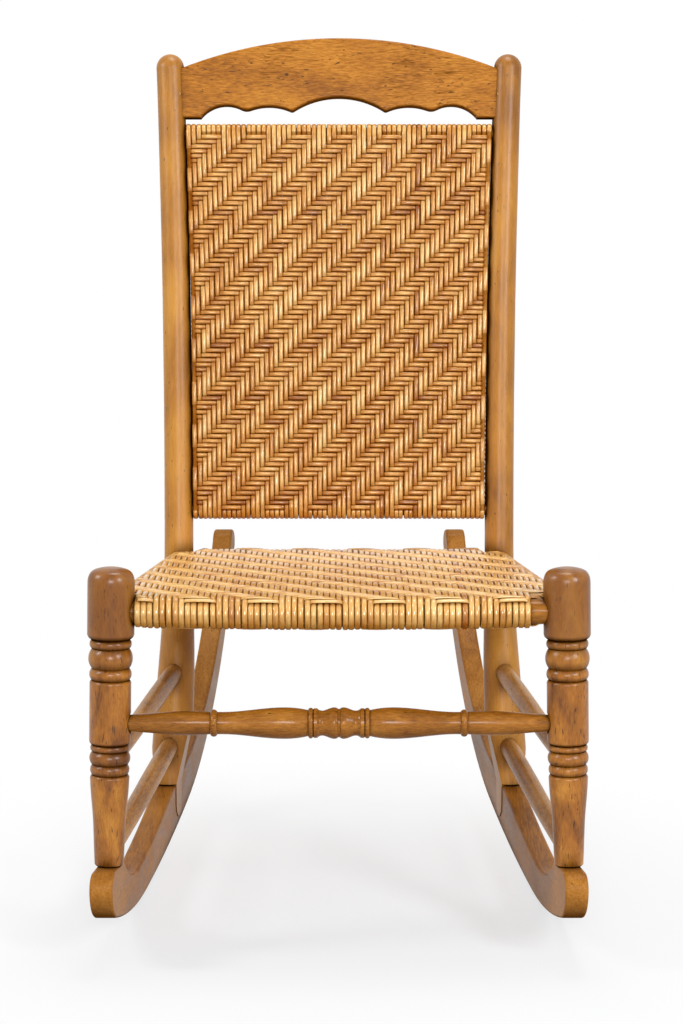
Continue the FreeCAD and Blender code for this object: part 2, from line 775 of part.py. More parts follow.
def seat_slab(thickness):
    """The slab that holds the seat rails with a skin of this thickness, on the clearance round the rails."""
    skin = soft_gap + thickness
    start, end = side_rail_axis("right")
    splay = math.atan2(start.x - end.x, end.y - start.y)
    wall = (side_rail_radius + skin) / math.cos(splay)
    front = -front_rail_radius - skin
    rear = seat_depth + rear_rail_radius + skin
    slope = (end.x - start.x) / (end.y - start.y)
    front_half = start.x + slope * (front - start.y) + wall
    rear_half = start.x + slope * (rear - start.y) + wall
    low = seat_rail_height - front_rail_radius - skin
    high = seat_rail_height + front_rail_radius + skin
    return trapezoid(front_half, rear_half, front, rear, low, high)


def slope_seat(shape):
    """Tips the seat, drawn level, to its slope about the front rail."""
    shape.rotate(V(0, 0, seat_rail_height), V(1, 0, 0), -math.degrees(math.atan(seat_rear_drop / seat_depth)))
    return shape


def seat_weave():
    """The woven seat as a hollow skin round its four rails, open where they run into legs and posts."""
    outer = seat_slab(weave_layer)
    outer = outer.makeFillet(seat_edge_radius, level_edges(outer))
    inner = seat_slab(0)
    inner = inner.makeFillet(seat_cavity_edge_radius, level_edges(inner))
    skin = slope_seat(outer.cut(inner))
    for side in ("left", "right"):
        skin = skin.cut(leg_column(side, post_notch_gap))
        skin = skin.cut(post_column(side, -overrun, overrun, post_notch_gap))
    return skin


def back_slab(thickness):
    """The slab that holds both back rails with a skin of this thickness, its sides along the posts."""
    skin = soft_gap + thickness
    low = back_rail_lower_rise - back_rail_radius - skin
    high = back_rail_upper_rise + back_rail_radius + skin
    half_depth = back_rail_radius + skin
    marks = []
    for rise in (low, (low + high) / 2, high):
        inset = post_radius(rise) + back_side_gap + weave_layer - thickness
        marks.append((post_half_spread(rise) - inset, seat_rail_height + rise))
    mirrored = [(-x, z) for x, z in marks]
    edges = [bow(*marks), bow(*mirrored), straight(marks[0], mirrored[0]), straight(marks[2], mirrored[2])]
    face = Part.Face(Part.Wire(Part.__sortEdges__(edges)))
    slab = face.extrude(V(0, 2 * half_depth, 0))
    slab.translate(V(0, seat_depth - half_depth, 0))
    return slab


def back_weave():
    """The woven back as a hollow skin round its two rails, which leave it through its sides."""
    outer = back_slab(weave_layer)
    rims = [edge for edge in outer.Edges if edge.BoundBox.YLength < wood_fit]
    outer = outer.makeFillet(back_edge_radius, rims)
    inner = back_slab(0)
    rims = [edge for edge in inner.Edges if edge.BoundBox.YLength < wood_fit]
    inner = inner.makeFillet(back_cavity_edge_radius, rims)
    skin = lean(outer.cut(inner))
    for rise in (back_rail_lower_rise, back_rail_upper_rise):
        skin = skin.cut(back_rail(rise, soft_gap))
    return skin


def front_leg(side):
    foot = leg_foot(side)
    body = stand_along(front_leg_body(), foot, leg_point(side, seat_rail_height))
    body = body.fuse(leg_tenon(side)).removeSplitter()
    sockets = [bar(*front_rail_ends(), front_rail_tenon_radius, wood_fit),
               bar(*side_rail_ends(side), side_rail_tenon_radius, wood_fit),
               front_stretcher_socket(), side_stretcher(side, "upper", wood_fit),
               side_stretcher(side, "lower", wood_fit)]
    for socket in sockets + leg_brads(side, wood_fit):
        body = body.cut(socket)
    return body


def rear_post(side):
    middle, foot_rise = foot_middle_point(side)
    body = post_body(side)
    below = Part.makeBox(2 * leg_foot_spread, 2 * seat_depth, post_drop,
                         V(-leg_foot_spread, 0, middle.z - post_drop))
    body = body.cut(below.cut(cheek_stock(side)))
    for cutter in foot_flats(side):
        body = body.cut(cutter)
    body = body.cut(rocker_board(side, web_thickness + 2 * wood_fit, wood_fit))
    sockets = [bar(*rear_rail_ends(), rear_rail_tenon_radius, wood_fit),
               bar(*side_rail_ends(side), side_rail_tenon_radius, wood_fit),
               side_stretcher(side, "upper", wood_fit), side_stretcher(side, "lower", wood_fit),
               rear_stretcher(wood_fit), back_rail(back_rail_lower_rise, wood_fit),
               back_rail(back_rail_upper_rise, wood_fit), crest_tenon(side, wood_fit)]
    for socket in sockets + crest_pegs(wood_fit) + post_brads(side, wood_fit):
        body = body.cut(socket)
    return body


def rocker(side):
    board = rocker_board(side, rocker_thickness)
    long_edges = [edge for edge in board.Edges if edge.BoundBox.YLength > rocker_thickness]
    board = board.makeFillet(rocker_edge, long_edges).cut(rocker_cheeks(side, wood_fit))
    board = board.cut(leg_tenon(side, wood_fit))
    for brad in leg_brads(side, wood_fit) + post_brads(side, wood_fit):
        board = board.cut(brad)
    return board


def crest_with_peg_holes():
    crest = crest_rail()
    for peg in crest_pegs(wood_fit):
        crest = crest.cut(peg)
    return crest


def chair_pieces():
    pieces = {}
    for side in ("left", "right"):
        pieces["front_leg_" + side] = front_leg(side)
        pieces["rear_post_" + side] = rear_post(side)
        pieces["rocker_" + side] = rocker(side)
        pieces["seat_rail_" + side] = side_seat_rail(side)
        for level in ("upper", "lower"):
            pieces["side_stretcher_" + level + "_" + side] = side_stretcher(side, level)
    pieces["front_stretcher"] = front_stretcher()
    pieces["rear_stretcher"] = rear_stretcher()
    pieces["seat_rail_front"] = front_seat_rail()
    pieces["seat_rail_rear"] = rear_seat_rail()
    pieces["back_rail_lower"] = back_rail(back_rail_lower_rise)
    pieces["back_rail_upper"] = back_rail(back_rail_upper_rise)
    pieces["crest_rail"] = crest_with_peg_holes()
    pieces["crest_pegs"] = Part.makeCompound(crest_pegs())
    pieces["rocker_brads"] = Part.makeCompound([brad for side in ("left", "right")
                                                for brad in leg_brads(side) + post_brads(side)])
    pieces["seat_weave"] = seat_weave()
    pieces["back_weave"] = back_weave()
    return pieces


def floor_point():
    """Where the soles touch the floor once the chair is tipped back."""
    tilt = math.radians(rest_tilt)
    y = rocker_contact_setback * math.cos(tilt) + rocker_contact_height * math.sin(tilt)
    z = rocker_contact_height * math.cos(tilt) - rocker_contact_setback * math.sin(tilt)
    return y, z


def write_chair():
    pieces = chair_pieces()
    contact, floor = floor_point()
    for shape in pieces.values():
        shape.rotate(V(0, 0, 0), V(1, 0, 0), -rest_tilt)
        shape.translate(V(0, 0, -floor))
    box = Part.makeCompound(list(pieces.values())).optimalBoundingBox(False, False)
    middle = (box.YMin + box.YMax) / 2
    for name, shape in pieces.items():
        shape.translate(V(0, -middle, 0))
        shape.exportStep("parts/" + name + ".step")
        print(name, len(shape.Solids), "solids", round(shape.Volume), "mm3", shape.isValid())
    weight = 0
    moment = 0
    for name, shape in pieces.items():
        for solid in shape.Solids:
            share = solid.Volume * (weave_weight_share if "weave" in name else 1)
            weight += share
            moment += share * solid.CenterOfMass.y
    print("box", [round(v, 1) for v in (box.XLength, box.YLength, box.ZLength)], "lowest", round(box.ZMin, 2))
    print("floor contact at y", round(contact - middle, 2), "balance at y", round(moment / weight, 2))


write_chair()
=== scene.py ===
import math
import random

import bpy
import numpy as np
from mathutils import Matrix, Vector


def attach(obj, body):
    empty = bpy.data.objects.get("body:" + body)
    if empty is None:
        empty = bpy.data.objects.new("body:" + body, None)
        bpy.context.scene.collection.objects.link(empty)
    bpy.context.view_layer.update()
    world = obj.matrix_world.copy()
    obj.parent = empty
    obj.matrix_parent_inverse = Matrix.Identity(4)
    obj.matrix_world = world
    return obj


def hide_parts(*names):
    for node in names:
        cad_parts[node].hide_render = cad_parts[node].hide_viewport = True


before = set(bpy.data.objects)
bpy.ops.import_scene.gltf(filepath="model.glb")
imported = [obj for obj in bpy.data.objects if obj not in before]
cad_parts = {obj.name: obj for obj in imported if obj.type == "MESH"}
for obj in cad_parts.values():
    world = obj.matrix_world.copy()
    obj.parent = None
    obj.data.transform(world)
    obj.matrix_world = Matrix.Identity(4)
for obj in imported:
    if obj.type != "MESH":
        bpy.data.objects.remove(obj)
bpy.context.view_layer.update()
bpy.ops.object.select_all(action="DESELECT")
print("frame loaded, nodes:", len(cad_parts))

# The chair is drawn with its front legs upright, in millimetres and degrees, and tipped back to rest by
# the tilt, as the CAD is. The back leans by the rake more. The seat rails' plane starts at the front legs.
chair = {
    "tilt": 10.0, "back": -402.56, "up": 39.22,
    "rake": 8.3, "seatDepth": 400.0, "railHeight": 336.0,
}


# Points of the upright chair in mm to where it rests, in metres.
def toRest(points):
    turn = math.radians(chair["tilt"])
    x, y, z = points[..., 0], points[..., 1], points[..., 2]
    out = np.empty_like(points)
    out[..., 0] = x
    out[..., 1] = y * math.cos(turn) + z * math.sin(turn) + chair["back"]
    out[..., 2] = -y * math.sin(turn) + z * math.cos(turn) + chair["up"]
    return out / 1000


# Camera, at the photograph's distance and height, looking down at the chair
view = {
    "place": (0.0, -3.3825, 1.4176),
    "down": 17.15,
    "lens": 106.875,
    "sensor": 36,
    "shift": 0.00244,
    "farthest": 50,
}

bpy.ops.object.camera_add(location=view["place"], rotation=(math.radians(90 - view["down"]), 0, 0))
camera = bpy.context.object
camera.name = "photoCamera"
camera.data.lens = view["lens"]
camera.data.sensor_width = view["sensor"]
camera.data.shift_x = view["shift"]
camera.data.clip_end = view["farthest"]
bpy.context.scene.camera = camera
bpy.context.scene.view_settings.view_transform = "Standard"


# An sRGB hex value as linear light.
def linear(hexColour):
    parts = [int(hexColour[i:i + 2], 16) / 255 for i in (1, 3, 5)]
    return [p / 12.92 if p <= 0.04045 else ((p + 0.055) / 1.055) ** 2.4 for p in parts] + [1.0]


def grey(value):
    return [value, value, value, 1.0]


# Adds a shader node. Values go to sockets, links join other nodes' outputs to sockets. A colour Mix takes
# its factor at 0 and its two colours at 6 and 7, and gives the mix at output 2.
def addNode(tree, kind, values=None, links=None, stops=None, **settings):
    node = tree.nodes.new(kind)
    for key, value in settings.items():
        setattr(node, key, value)
    for key, value in (values or {}).items():
        node.inputs[key].default_value = value
    for key, source in (links or {}).items():
        tree.links.new(source, node.inputs[key])
    if stops:
        ramp = node.color_ramp
        while len(ramp.elements) < len(stops):
            ramp.elements.new(0.5)
        for element, (place, colour) in zip(ramp.elements, stops):
            element.position = place
            element.color = colour
    return node


# The values of a Map Range: what runs from low to high comes out as first to last.
def span(low, high, first, last):
    return {1: low, 2: high, 3: first, 4: last}


def startMaterial(name):
    material = bpy.data.materials.new(name)
    material.use_nodes = True
    tree = material.node_tree
    tree.nodes.clear()
    output = addNode(tree, "ShaderNodeOutputMaterial")
    return material, tree, output


# Varnished hickory, turned or sawn. Under thin varnish it shows a brown mottle 15 to 35 mm across, streaks
# 1 to 2 mm wide along the grain, small near-black flecks and a soft gloss, with painted shade and some dirt
# in the grooves and painted shade on the undersides. Scales are waves a metre, across and along the grain
# where there are two. Shares are of streaks, mottle and clouds.
woods = {
    "leg": {
        "pale": "#cd8c32", "middle": "#a8671d", "dark": "#73400c", "fleck": "#241003",
        "spread": 0.11, "shares": (0.22, 0.42, 0.36), "mottle": 48, "streak": (620, 130),
        "flecks": (420, 80), "fleckShare": 0.645, "rough": (0.28, 0.36), "gloss": 0.46, "bump": 0.06,
        "below": 0.95, "handDark": 0.6, "vein": 0.0,
    },
    "rung": {
        "pale": "#cb8a36", "middle": "#a86a22", "dark": "#7c4812", "fleck": "#2f1606",
        "spread": 0.13, "shares": (0.36, 0.30, 0.34), "mottle": 60, "streak": (620, 110),
        "flecks": (300, 90), "fleckShare": 0.69, "rough": (0.20, 0.28), "gloss": 0.26, "bump": 0.06,
        "below": 0.5, "handDark": 0.0, "vein": 0.0,
    },
    "rod": {
        "pale": "#dba664", "middle": "#c28a48", "dark": "#9a642a", "fleck": "#4a2a10",
        "spread": 0.12, "shares": (0.36, 0.30, 0.34), "mottle": 60, "streak": (620, 60),
        "flecks": (300, 60), "fleckShare": 0.69, "rough": (0.28, 0.38), "gloss": 0.14, "bump": 0.06,
        "below": 0.0, "handDark": 0.0, "vein": 0.0,
    },
    "post": {
        "pale": "#d19236", "middle": "#b67824", "dark": "#8c5610", "fleck": "#351b0a",
        "spread": 0.14, "shares": (0.20, 0.30, 0.50), "mottle": 40, "streak": (600, 60),
        "flecks": (360, 140), "fleckShare": 0.69, "rough": (0.37, 0.43), "gloss": 0.48, "bump": 0.04,
        "below": 0.4, "handDark": 0.0, "vein": 0.0,
    },
    "board": {
        "pale": "#d28e34", "middle": "#b67220", "dark": "#895012", "fleck": "#341a07",
        "spread": 0.11, "shares": (0.52, 0.28, 0.20), "mottle": 30, "streak": (760, 110),
        "flecks": (330, 120), "fleckShare": 0.66, "rough": (0.28, 0.42), "gloss": 0.16, "bump": 0.10,
        "below": 0.75, "handDark": 0.0, "vein": 0.55,
    },
    "rocker": {
        "pale": "#c5883e", "middle": "#ae722d", "dark": "#87521b", "fleck": "#34190a",
        "spread": 0.12, "shares": (0.38, 0.30, 0.32), "mottle": 60, "streak": (560, 60),
        "flecks": (260, 90), "fleckShare": 0.70, "rough": (0.30, 0.42), "gloss": 0.10, "bump": 0.08,
        "below": 0.8, "handDark": 0.0, "vein": 0.0,
    },
}
# What all the woods share. A reach is from where to where something grows. Lengths are in metres.
grain = {
    "streak": {"Scale": 1.0, "Detail": 5.0, "Roughness": 0.62},
    "mottleScale": (1.0, 1.0, 0.35), "mottle": {"Detail": 3.0, "Distortion": 0.6},
    "cloud": {"Scale": 9.0, "Detail": 2.0},
    "flecks": {"Scale": 1.0, "Detail": 2.0, "Roughness": 0.55},
    "fleckEdge": 0.05, "fleckStrength": 0.8, "fleckDepth": -0.6,
    "shakeScale": (170.0, 170.0, 17.0), "shake": {"Scale": 1.0, "Detail": 2.0, "Distortion": 0.25},
    "shakeMiddle": 0.5, "shakeWidth": 0.028, "shakeReach": (0.44, 0.54),
    "nook": {"Distance": 0.02}, "nookSamples": 6, "nookShadeAndDirtReach": (0.40, 0.97), "nookShadeAndDirt": 0.97,
    "belowReach": (0.1, -0.7), "handReach": (0.31, 0.35),
    "roughReach": (0.3, 0.7), "dullReach": (0.0, 0.7),
    "bumpDistance": 0.0006, "ior": 1.5,
}


# The wood's grain runs along Z after the turn, so each piece gives the turn that stands its axis up.
def woodMaterial(name, kind, turn):
    wood = woods[kind]
    material, tree, output = startMaterial(name)
    place = addNode(tree, "ShaderNodeTexCoord")
    upright = addNode(tree, "ShaderNodeMapping", {"Rotation": [math.radians(a) for a in turn]},
                      {"Vector": place.outputs["Object"]})
    point = upright.outputs["Vector"]
    across, along = wood["streak"]
    stretched = addNode(tree, "ShaderNodeMapping", {"Scale": (across, across, along)}, {"Vector": point})
    streak = addNode(tree, "ShaderNodeTexNoise", grain["streak"], {"Vector": stretched.outputs["Vector"]})
    slow = addNode(tree, "ShaderNodeMapping", {"Scale": grain["mottleScale"]}, {"Vector": point})
    mottle = addNode(tree, "ShaderNodeTexNoise", {"Scale": wood["mottle"], **grain["mottle"]},
                     {"Vector": slow.outputs["Vector"]})
    cloud = addNode(tree, "ShaderNodeTexNoise", grain["cloud"], {"Vector": point})
    streakPart, mottlePart, cloudPart = wood["shares"]
    one = addNode(tree, "ShaderNodeMath", {1: streakPart}, {0: streak.outputs[0]}, operation="MULTIPLY")
    two = addNode(tree, "ShaderNodeMath", {1: mottlePart}, {0: mottle.outputs[0], 2: one.outputs[0]},
                  operation="MULTIPLY_ADD")
    level = addNode(tree, "ShaderNodeMath", {1: cloudPart}, {0: cloud.outputs[0], 2: two.outputs[0]},
                    operation="MULTIPLY_ADD")
    body = addNode(tree, "ShaderNodeValToRGB", links={"Fac": level.outputs[0]}, stops=[
        (0.5 - wood["spread"], linear(wood["dark"])), (0.5, linear(wood["middle"])),
        (0.5 + wood["spread"], linear(wood["pale"]))])
    wide, long = wood["flecks"]
    dotted = addNode(tree, "ShaderNodeMapping", {"Scale": (wide, wide, long)}, {"Vector": point})
    dots = addNode(tree, "ShaderNodeTexNoise", grain["flecks"], {"Vector": dotted.outputs["Vector"]})
    least = wood["fleckShare"]
    fleck = addNode(tree, "ShaderNodeMapRange",
                    span(least, least + grain["fleckEdge"], 0.0, grain["fleckStrength"]),
                    {0: dots.outputs[0]})
    flecked = addNode(tree, "ShaderNodeMix", {7: linear(wood["fleck"])},
                      {0: fleck.outputs[0], 6: body.outputs[0]}, data_type="RGBA")
    # Thin wavy shakes along the grain, in places, in the sawn crest
    figure = addNode(tree, "ShaderNodeMapping", {"Scale": grain["shakeScale"]}, {"Vector": point})
    bands = addNode(tree, "ShaderNodeTexNoise", grain["shake"], {"Vector": figure.outputs["Vector"]})
    offset = addNode(tree, "ShaderNodeMath", {1: grain["shakeMiddle"]}, {0: bands.outputs[0]},
                     operation="SUBTRACT")
    ridge = addNode(tree, "ShaderNodeMath", {}, {0: offset.outputs[0]}, operation="ABSOLUTE")
    line = addNode(tree, "ShaderNodeMapRange", span(0.0, grain["shakeWidth"], wood["vein"], 0.0),
                   {0: ridge.outputs[0]})
    where = addNode(tree, "ShaderNodeMapRange", span(*grain["shakeReach"], 0.0, 1.0), {0: cloud.outputs[0]})
    vein = addNode(tree, "ShaderNodeMath", {}, {0: line.outputs[0], 1: where.outputs[0]},
                   operation="MULTIPLY")
    # Painted shade, with some dirt, in the grooves and near joins where the surface is hemmed in, and
    # painted shade on surfaces that face down
    nook = addNode(tree, "ShaderNodeAmbientOcclusion", grain["nook"], samples=grain["nookSamples"])
    nookShadeAndDirt = addNode(tree, "ShaderNodeMapRange", span(*grain["nookShadeAndDirtReach"], grain["nookShadeAndDirt"], 0.0),
                   {0: nook.outputs["AO"]})
    facing = addNode(tree, "ShaderNodeNewGeometry")
    parts = addNode(tree, "ShaderNodeSeparateXYZ", {}, {0: facing.outputs["Normal"]})
    # Painted shade, darker the further down the surface faces
    below = addNode(tree, "ShaderNodeMapRange", span(*grain["belowReach"], 0.0, wood["below"]),
                    {0: parts.outputs["Z"]})
    paintedShadeAndDirt = addNode(tree, "ShaderNodeMath", {}, {0: nookShadeAndDirt.outputs[0], 1: below.outputs[0]},
                    operation="MAXIMUM")
    shadeDirtAndShakes = addNode(tree, "ShaderNodeMath", {}, {0: paintedShadeAndDirt.outputs[0], 1: vein.outputs[0]},
                   operation="MAXIMUM")
    # Where hands take hold, at the top of the legs, the wood is a shade darker
    height = addNode(tree, "ShaderNodeSeparateXYZ", {}, {0: place.outputs["Object"]})
    held = addNode(tree, "ShaderNodeMapRange", span(*grain["handReach"], 0.0, wood["handDark"]),
                   {0: height.outputs["Z"]})
    stained = addNode(tree, "ShaderNodeMix", {7: linear(wood["dark"])},
                      {0: held.outputs[0], 6: flecked.outputs[2]}, data_type="RGBA")
    # The fleck colour goes on as painted shade and dirt, and along the shakes
    shadedAndAged = addNode(tree, "ShaderNodeMix", {7: linear(wood["fleck"])},
                   {0: shadeDirtAndShakes.outputs[0], 6: stained.outputs[2]}, data_type="RGBA")
    rough = addNode(tree, "ShaderNodeMapRange", span(*grain["roughReach"], *wood["rough"]),
                    {0: mottle.outputs[0]})
    relief = addNode(tree, "ShaderNodeMath", {1: grain["fleckDepth"]},
                     {0: fleck.outputs[0], 2: streak.outputs[0]}, operation="MULTIPLY_ADD")
    bump = addNode(tree, "ShaderNodeBump", {"Strength": wood["bump"], "Distance": grain["bumpDistance"]},
                   {"Height": relief.outputs[0]})
    gloss = addNode(tree, "ShaderNodeMapRange", span(*grain["dullReach"], wood["gloss"], 0.0),
                    {0: shadeDirtAndShakes.outputs[0]})
    shader = addNode(tree, "ShaderNodeBsdfPrincipled", {"IOR": grain["ior"]},
                     {"Base Color": shadedAndAged.outputs[2], "Roughness": rough.outputs[0],
                      "Normal": bump.outputs[0], "Specular IOR Level": gloss.outputs[0]})
    tree.links.new(shader.outputs[0], output.inputs["Surface"])
    return material


def dress(nodes, material):
    for name in nodes:
        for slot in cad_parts[name].material_slots:
            slot.material = material


tilt = chair["tilt"]
dress(["front_leg_left", "front_leg_right"], woodMaterial("hickoryLeg", "leg", (tilt, 0, 0)))
dress(["rear_post_left", "rear_post_right", "crest_pegs"],
      woodMaterial("hickoryPost", "post", (tilt + chair["rake"], 0, 0)))
dress(["front_stretcher", "rear_stretcher", "seat_rail_front", "seat_rail_rear", "back_rail_lower",
       "back_rail_upper"], woodMaterial("hickoryCrossRung", "rung", (0, 90, 0)))
dress(["side_stretcher_lower_left", "side_stretcher_lower_right", "side_stretcher_upper_left",
       "side_stretcher_upper_right", "seat_rail_left", "seat_rail_right"],
      woodMaterial("hickorySideRod", "rod", (90 + tilt, 0, 0)))
dress(["crest_rail"], woodMaterial("hickoryCrest", "board", (0, 90, 0)))
dress(["rocker_left", "rocker_right"], woodMaterial("hickoryRocker", "rocker", (90, 0, 0)))
print("wood dressed")

# Wire brads, set flush and gone brown: dark, half rough, with the metal's own IOR
brads = {
    "dark": "#20160f", "rust": "#4a3020", "spots": {"Scale": 900.0, "Detail": 2.0},
    "rustReach": (0.35, 0.65), "roughReach": (0.3, 0.7), "rough": (0.4, 0.65),
}
material, tree, output = startMaterial("brownedBradSteel")
place = addNode(tree, "ShaderNodeTexCoord")
spots = addNode(tree, "ShaderNodeTexNoise", brads["spots"], {"Vector": place.outputs["Object"]})
darkest, rustiest = brads["rustReach"]
rust = addNode(tree, "ShaderNodeValToRGB", links={"Fac": spots.outputs[0]},
               stops=[(darkest, linear(brads["dark"])), (rustiest, linear(brads["rust"]))])
rough = addNode(tree, "ShaderNodeMapRange", span(*brads["roughReach"], *brads["rough"]),
                {0: spots.outputs[0]})
shader = addNode(tree, "ShaderNodeBsdfPrincipled", {"Metallic": 1.0},
                 {"Base Color": rust.outputs[0], "Roughness": rough.outputs[0]})
tree.links.new(shader.outputs[0], output.inputs["Surface"])
dress(["rocker_brads"], material)
print("brads dressed")


# Split strands, woven. Each goes round its frame, over some of the strands that cross it and under the
# others: most as a closed ring, and some open, with their ends tucked in. A strand is a row of stations:
# where it runs, which way is out, and how far it stands out there. The section is in half widths and half
# thicknesses, and bendClear is in mm.
ringShape = {
    "section": [(-1.0, -0.15), (-0.5, 0.9), (0.5, 0.9), (1.0, -0.15), (0.5, -0.9), (-0.5, -0.9)],
    "endFaces": [(0, 1, 2, 3), (0, 3, 4, 5)],
    "endMap": [[0.1, 0.0], [0.2, 0.0], [0.3, 1.0], [0.4, 1.0]],
    "bendStations": 4, "bendClear": 1.5, "toneShift": 7919.0,
}


# Vertices, faces and map of one strand: centres and outs are n by 3, in mm.
def ringMesh(centres, outs, widths, thick, isOpen):
    n = len(centres)
    ahead = np.gradient(centres, axis=0) if isOpen else np.roll(centres, -1, 0) - np.roll(centres, 1, 0)
    ahead /= np.linalg.norm(ahead, axis=1)[:, None]
    sides = np.cross(ahead, outs)
    sides /= np.linalg.norm(sides, axis=1)[:, None]
    tops = np.cross(sides, ahead)
    section = np.array(ringShape["section"])
    points = (centres[:, None, :] + sides[:, None, :] * (section[None, :, 0:1] * widths[:, None, None] / 2)
              + tops[:, None, :] * (section[None, :, 1:2] * thick / 2))
    lengths = np.linalg.norm(np.roll(centres, -1, 0) - centres, axis=1)
    along = np.concatenate([[0], np.cumsum(lengths)])
    k = len(section)
    runs = n - 1 if isOpen else n
    i = np.arange(runs)[:, None]
    j = np.arange(k)[None, :]
    a = i * k + j
    b = i * k + (j + 1) % k
    c = ((i + 1) % n) * k + (j + 1) % k
    d = ((i + 1) % n) * k + j
    faces = np.stack([a, b, c, d], -1).reshape(-1, 4)
    u0 = (j / k) * np.ones((runs, 1))
    u1 = ((j + 1) / k) * np.ones((runs, 1))
    v0 = (along[:runs, None]) * np.ones((1, k))
    v1 = (along[1:runs + 1, None]) * np.ones((1, k))
    uvs = np.stack([np.stack([u0, v0], -1), np.stack([u1, v0], -1), np.stack([u1, v1], -1),
                    np.stack([u0, v1], -1)], 2).reshape(-1, 2)
    if isOpen:
        ends = [[station + m for m in corners]
                for station in (0, (n - 1) * k) for corners in ringShape["endFaces"]]
        faces = np.concatenate([faces, np.array(ends)])
        uvs = np.concatenate([uvs, np.tile(ringShape["endMap"], (len(ends), 1))])
    return points.reshape(-1, 3), faces, uvs


# Joins many strands to one piece. Each strand is (centres, outs, widths, thick, lifts, tone, isOpen).
def strandObject(name, strands, replaced, material, toChair):
    allPoints, allFaces, allUvs, tones, depths = [], [], [], [], []
    start = 0
    for centres, outs, widths, thick, lifts, tone, isOpen in strands:
        points, faces, uvs = ringMesh(centres, outs, widths, thick, isOpen)
        allPoints.append(points)
        allFaces.append(faces + start)
        # Every strand's fibres start at a place of their own
        allUvs.append(uvs + np.array([0.0, tone * ringShape["toneShift"]]))
        tones.append(np.full(len(points), tone))
        depths.append(np.repeat(lifts, len(ringShape["section"])))
        start += len(points)
    points = toRest(toChair(np.concatenate(allPoints)))
    faces = np.concatenate(allFaces)
    uvs = np.concatenate(allUvs)
    mesh = bpy.data.meshes.new(name)
    mesh.vertices.add(len(points))
    mesh.vertices.foreach_set("co", points.astype(np.float32).ravel())
    mesh.loops.add(faces.size)
    mesh.loops.foreach_set("vertex_index", faces.astype(np.int32).ravel())
    mesh.polygons.add(len(faces))
    mesh.polygons.foreach_set("loop_start", np.arange(0, faces.size, 4, dtype=np.int32))
    mesh.update(calc_edges=True)
    mesh.validate()
    layer = mesh.uv_layers.new(name="strandMap")
    layer.data.foreach_set("uv", uvs.astype(np.float32).ravel())
    for label, values in (("strandTone", tones), ("strandLift", depths)):
        attribute = mesh.attributes.new(label, "FLOAT", "POINT")
        attribute.data.foreach_set("value", np.concatenate(values).astype(np.float32))
    piece = bpy.data.objects.new(name, mesh)
    bpy.context.scene.collection.objects.link(piece)
    mesh.materials.append(material)
    bpy.ops.object.select_all(action="DESELECT")
    piece.select_set(True)
    bpy.context.view_layer.objects.active = piece
    bpy.ops.object.mode_set(mode="EDIT")
    bpy.ops.mesh.select_all(action="SELECT")
    bpy.ops.mesh.normals_make_consistent(inside=False)
    bpy.ops.object.mode_set(mode="OBJECT")
    bpy.ops.object.shade_smooth()
    piece.select_set(False)
    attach(piece, "root")
    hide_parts(replaced)
    print(name, "faces", len(mesh.polygons))


# How the strands look. A dip is painted shade on a strand's low parts, with the crowns left brightest: where
# it is darkest and where it ends, as lifts in mm, and how dark it is. Painted shade and dirt go toward gap.
canes = {
    "back": {
        "pale": "#f9cc80", "middle": "#dc9b46", "dark": "#a5631d", "gap": "#642e06",
        "gloss": 0.6, "fibre": 1.1, "rough": (0.14, 0.24), "bump": 0.25, "nookShadeAndDirt": 0.95,
        "dip": (0.9, 1.85, 0.62), "below": 0.4, "deepen": 1.45, "gapShare": 0.85,
    },
    "seat": {
        "pale": "#ffd88e", "middle": "#efb762", "dark": "#c27e34", "gap": "#6e3408",
        "gloss": 0.85, "fibre": 1.2, "rough": (0.12, 0.20), "bump": 0.10, "nookShadeAndDirt": 0.9,
        "dip": (0.6, 1.9, 0.45), "below": 0.75, "deepen": 1.35, "gapShare": 0.75,
    },
}
# What both canes share. Shares are of fibre, patch, broad and tone in the colour's level.
bark = {
    "fibreRound": 16.0, "fibreAlong": 0.045, "fibre": {"Scale": 1.0, "Detail": 4.0, "Roughness": 0.6},
    "patch": {"Scale": 55.0, "Detail": 3.0, "Roughness": 0.6}, "broad": {"Scale": 7.0, "Detail": 2.0},
    "shares": (0.34, 0.36, 0.14, 0.12), "levels": (0.33, 0.48, 0.62),
    "nook": {"Distance": 0.004}, "nookSamples": 5, "nookShadeAndDirtReach": (0.2, 0.85),
    "belowReach": (0.3, -0.55), "roughReach": (0.3, 0.7), "shadeRough": 0.3, "dullReach": (0.25, 0.6),
    "bumpDistance": 0.0005, "ior": 1.47,
}
